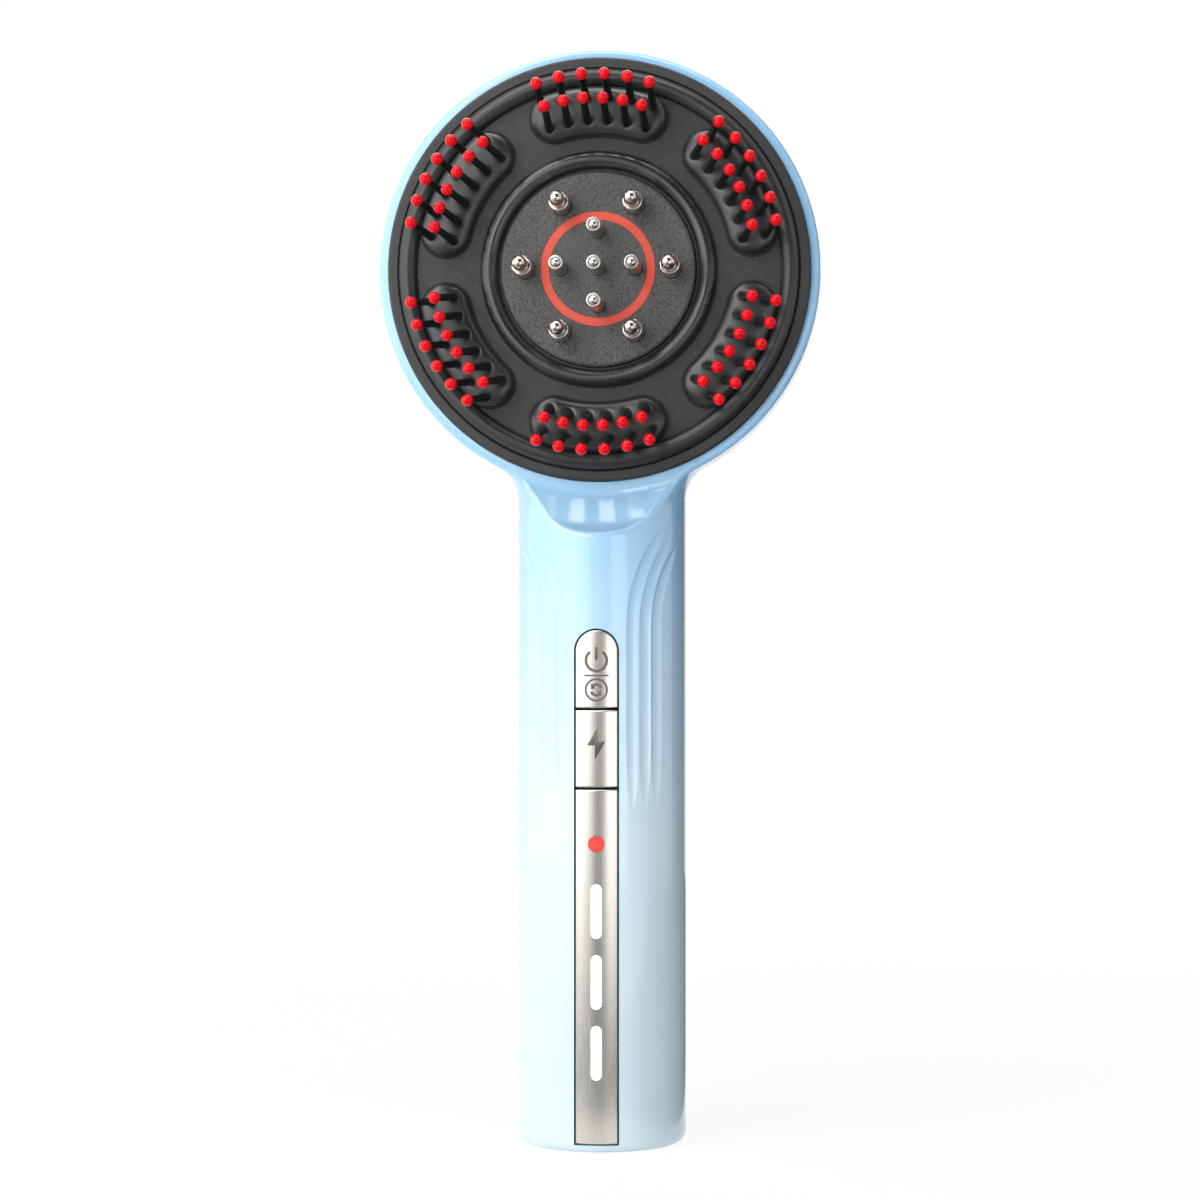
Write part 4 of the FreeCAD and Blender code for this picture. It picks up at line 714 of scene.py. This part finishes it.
def add_light(name, place, target, size, strength):
    """A soft box whose face shines with a strength, where 1 is the white of the backdrop."""
    width, height = size
    data = bpy.data.lights.new(name, "AREA")
    data.shape = "RECTANGLE"
    data.size = width
    data.size_y = height
    data.energy = strength * math.pi * width * height
    lamp = bpy.data.objects.new(name, data)
    lamp.location = place
    lamp.rotation_euler = (Vector(target) - Vector(place)).to_track_quat("-Z", "Y").to_euler()
    bpy.context.scene.collection.objects.link(lamp)


def seen_directly(nodes, links):
    """One for rays from the camera, a mirror or glass, else zero."""
    path = nodes.new("ShaderNodeLightPath")
    first = nodes.new("ShaderNodeMath")
    first.operation = "MAXIMUM"
    links.new(path.outputs["Is Camera Ray"], first.inputs[0])
    links.new(path.outputs["Is Glossy Ray"], first.inputs[1])
    second = nodes.new("ShaderNodeMath")
    second.operation = "MAXIMUM"
    links.new(first.outputs["Value"], second.inputs[0])
    links.new(path.outputs["Is Transmission Ray"], second.inputs[1])
    return second.outputs["Value"]


def white_world(ambient):
    """A white surround where it is seen, which lights the object at a lower strength."""
    world = bpy.data.worlds.new("studio")
    world.use_nodes = True
    nodes = world.node_tree.nodes
    links = world.node_tree.links
    nodes.clear()
    white = nodes.new("ShaderNodeBackground")
    white.inputs["Color"].default_value = opaque(WHITE)
    soft = nodes.new("ShaderNodeBackground")
    soft.inputs["Color"].default_value = opaque(SURROUND_WHITE)
    soft.inputs["Strength"].default_value = ambient
    choice = nodes.new("ShaderNodeMixShader")
    output = nodes.new("ShaderNodeOutputWorld")
    links.new(seen_directly(nodes, links), choice.inputs["Fac"])
    links.new(soft.outputs["Background"], choice.inputs[1])
    links.new(white.outputs["Background"], choice.inputs[2])
    links.new(choice.outputs["Shader"], output.inputs["Surface"])
    bpy.context.scene.world = world


def card_material(name, colour, glow):
    """Dull paper, which may glow as if light stood behind it."""
    material = bpy.data.materials.new(name)
    material.use_nodes = True
    principled = material.node_tree.nodes["Principled BSDF"]
    principled.inputs["Base Color"].default_value = opaque(colour)
    principled.inputs["Roughness"].default_value = 0.9
    principled.inputs["Emission Color"].default_value = opaque(WHITE)
    principled.inputs["Emission Strength"].default_value = glow
    return material


def add_card(name, centre, facing, size, colour=CARD_BLACK, glow=0.0):
    """An upright or lying sheet of the studio, which faces a point."""
    right = size[0] / 2
    top = size[1] / 2
    corners = [(-right, -top, 0), (right, -top, 0), (right, top, 0), (-right, top, 0)]
    data = bpy.data.meshes.new(name)
    data.from_pydata(corners, [], [(0, 1, 2, 3)])
    data.materials.append(card_material(name, colour, glow))
    card = bpy.data.objects.new(name, data)
    card.location = centre
    card.rotation_euler = (Vector(facing) - Vector(centre)).to_track_quat("Z", "Y").to_euler()
    bpy.context.scene.collection.objects.link(card)
    return card


def white_floor():
    """A white floor that takes a faint shadow near the object and fades into the backdrop."""
    floor = add_card("floor", (0.0, 0.0, 0.0), facing=(0.0, 0.0, 1.0), size=(12.0, 12.0), colour=FLOOR_WHITE)
    tree = floor.data.materials[0].node_tree
    place = tree.nodes.new("ShaderNodeTexCoord")
    distance = tree.nodes.new("ShaderNodeVectorMath")
    distance.operation = "LENGTH"
    tree.links.new(place.outputs["Object"], distance.inputs[0])
    fade = map_range(tree, distance.outputs["Value"], low=0.02, high=0.4, new_low=0.90)
    share = tree.nodes.new("ShaderNodeMath")
    share.operation = "MULTIPLY"
    tree.links.new(seen_directly(tree.nodes, tree.links), share.inputs[0])
    tree.links.new(fade, share.inputs[1])
    glow = tree.nodes.new("ShaderNodeEmission")
    choice = tree.nodes.new("ShaderNodeMixShader")
    tree.links.new(share.outputs["Value"], choice.inputs["Fac"])
    tree.links.new(tree.nodes["Principled BSDF"].outputs["BSDF"], choice.inputs[1])
    tree.links.new(glow.outputs["Emission"], choice.inputs[2])
    tree.links.new(choice.outputs["Shader"], tree.nodes["Material Output"].inputs["Surface"])


def soften(card, bare, full):
    """Let a card fade out towards its left side, so that its reflection has no hard edge there."""
    tree = card.data.materials[0].node_tree
    place = tree.nodes.new("ShaderNodeTexCoord")
    split = tree.nodes.new("ShaderNodeSeparateXYZ")
    tree.links.new(place.outputs["Object"], split.inputs["Vector"])
    fade = map_range(tree, split.outputs["X"], bare, full)
    tree.links.new(fade, tree.nodes["Principled BSDF"].inputs["Alpha"])


def dark_cards():
    """Dark cards on the right, which draw the right edges, and the dim room and floor by the camera.

    The camera doesn't see them. Three of them, low down, show in reflections alone and cast no shadow.
    """
    flag = add_card("flag", (0.32, 0.38, 0.25), facing=(0.0, 0.0, 0.25), size=(0.46, 0.7))
    low_flag = add_card("low_flag", (0.34, 0.19, 0.001), facing=(0.34, 0.19, 1.0), size=(0.62, 0.72))
    room = add_card("room", (0.0, -1.3, 1.1), facing=(0.0, 0.0, 1.1), size=(2.6, 1.9))
    front_wall = add_card(
        "front_wall", (0.0, -1.25, 0.08), facing=(0.0, 0.0, 0.08), size=(0.60, 0.34), glow=0.35
    )
    runner = add_card(
        "runner", (-0.02, -0.50, 0.001), facing=(-0.02, -0.50, 1.0), size=(0.20, 0.90), glow=0.20
    )
    soften(flag, bare=-0.23, full=-0.13)
    soften(low_flag, bare=-0.31, full=-0.05)
    for card in (flag, low_flag, room, front_wall, runner):
        card.visible_camera = False
    for card in (low_flag, front_wall, runner):
        card.visible_shadow = False
        card.visible_diffuse = False


def studio():
    """The surround, floor and cards, with soft boxes on the left, in front, above, behind and on the right."""
    middle = (0.0, 0.0, 0.11)
    face = (0.0, 0.0, 0.165)
    white_world(ambient=0.24)
    white_floor()
    dark_cards()
    add_light("left_wall", (-0.52, 0.02, 0.26), target=(0.0, 0.0, 0.26), size=(0.5, 0.5), strength=0.85)
    add_light("left_box", (-0.42, -0.36, 0.23), target=(0.0, 0.0, 0.23), size=(0.34, 0.44), strength=1.85)
    add_light("left_fade", (-0.27, -0.49, 0.23), target=(0.0, 0.0, 0.23), size=(0.12, 0.44), strength=1.05)
    add_light("middle_fade", (-0.16, -0.53, 0.23), target=(0.0, 0.0, 0.23), size=(0.11, 0.44), strength=0.6)
    add_light("right_box", (0.27, -0.52, 0.08), target=(0.0, 0.0, 0.08), size=(0.20, 0.18), strength=1.8)
    add_light("face_box", (-0.20, -0.62, 0.31), target=face, size=(0.28, 0.32), strength=4.0)
    add_light("top_front", (-0.42, -0.52, 0.75), target=face, size=(0.4, 0.35), strength=5.6)
    add_light("top", (-0.05, -0.27, 0.95), target=(0.0, -0.06, 0.0), size=(0.7, 0.36), strength=4.6)
    add_light("rear", (-0.1, 0.9, 0.8), target=middle, size=(0.7, 0.6), strength=2.2)


def add_camera():
    """A level camera, which stands a little to the right of the face."""
    data = bpy.data.cameras.new("camera")
    data.sensor_width = SENSOR_WIDTH
    data.lens = SENSOR_WIDTH * CAMERA_DISTANCE / FRAME_WIDTH
    camera = bpy.data.objects.new("camera", data)
    azimuth = math.radians(CAMERA_AZIMUTH)
    back = Vector((math.sin(azimuth), -math.cos(azimuth), 0.0)) * CAMERA_DISTANCE
    right = Vector((math.cos(azimuth), math.sin(azimuth), 0.0)) * CAMERA_ASIDE
    camera.location = (back + right + Vector((0.0, 0.0, CAMERA_HEIGHT))) * MM
    camera.rotation_euler = (math.radians(QUARTER_TURN), 0.0, azimuth)
    bpy.context.scene.collection.objects.link(camera)
    bpy.context.scene.camera = camera


bpy.context.scene.view_settings.view_transform = "Standard"
shaders = make_shaders()
dress_nodes(shaders)
for number in range(1, GROUP_COUNT + 1):
    mound(number, shaders["black_rubber"])
soft_bead(soft_rubber("bead_rubber", roughness=0.30))
for number in range(1, ELECTRODE_COUNT + 1):
    spring(number, shaders["steel"])
ink = grained("icon_ink", ICON_GREY, roughness=0.5, grain=0.2, depth=0.001)
power_icon(ink)
cycle_icon(ink)
bolt_icon(ink)
studio()
add_camera()
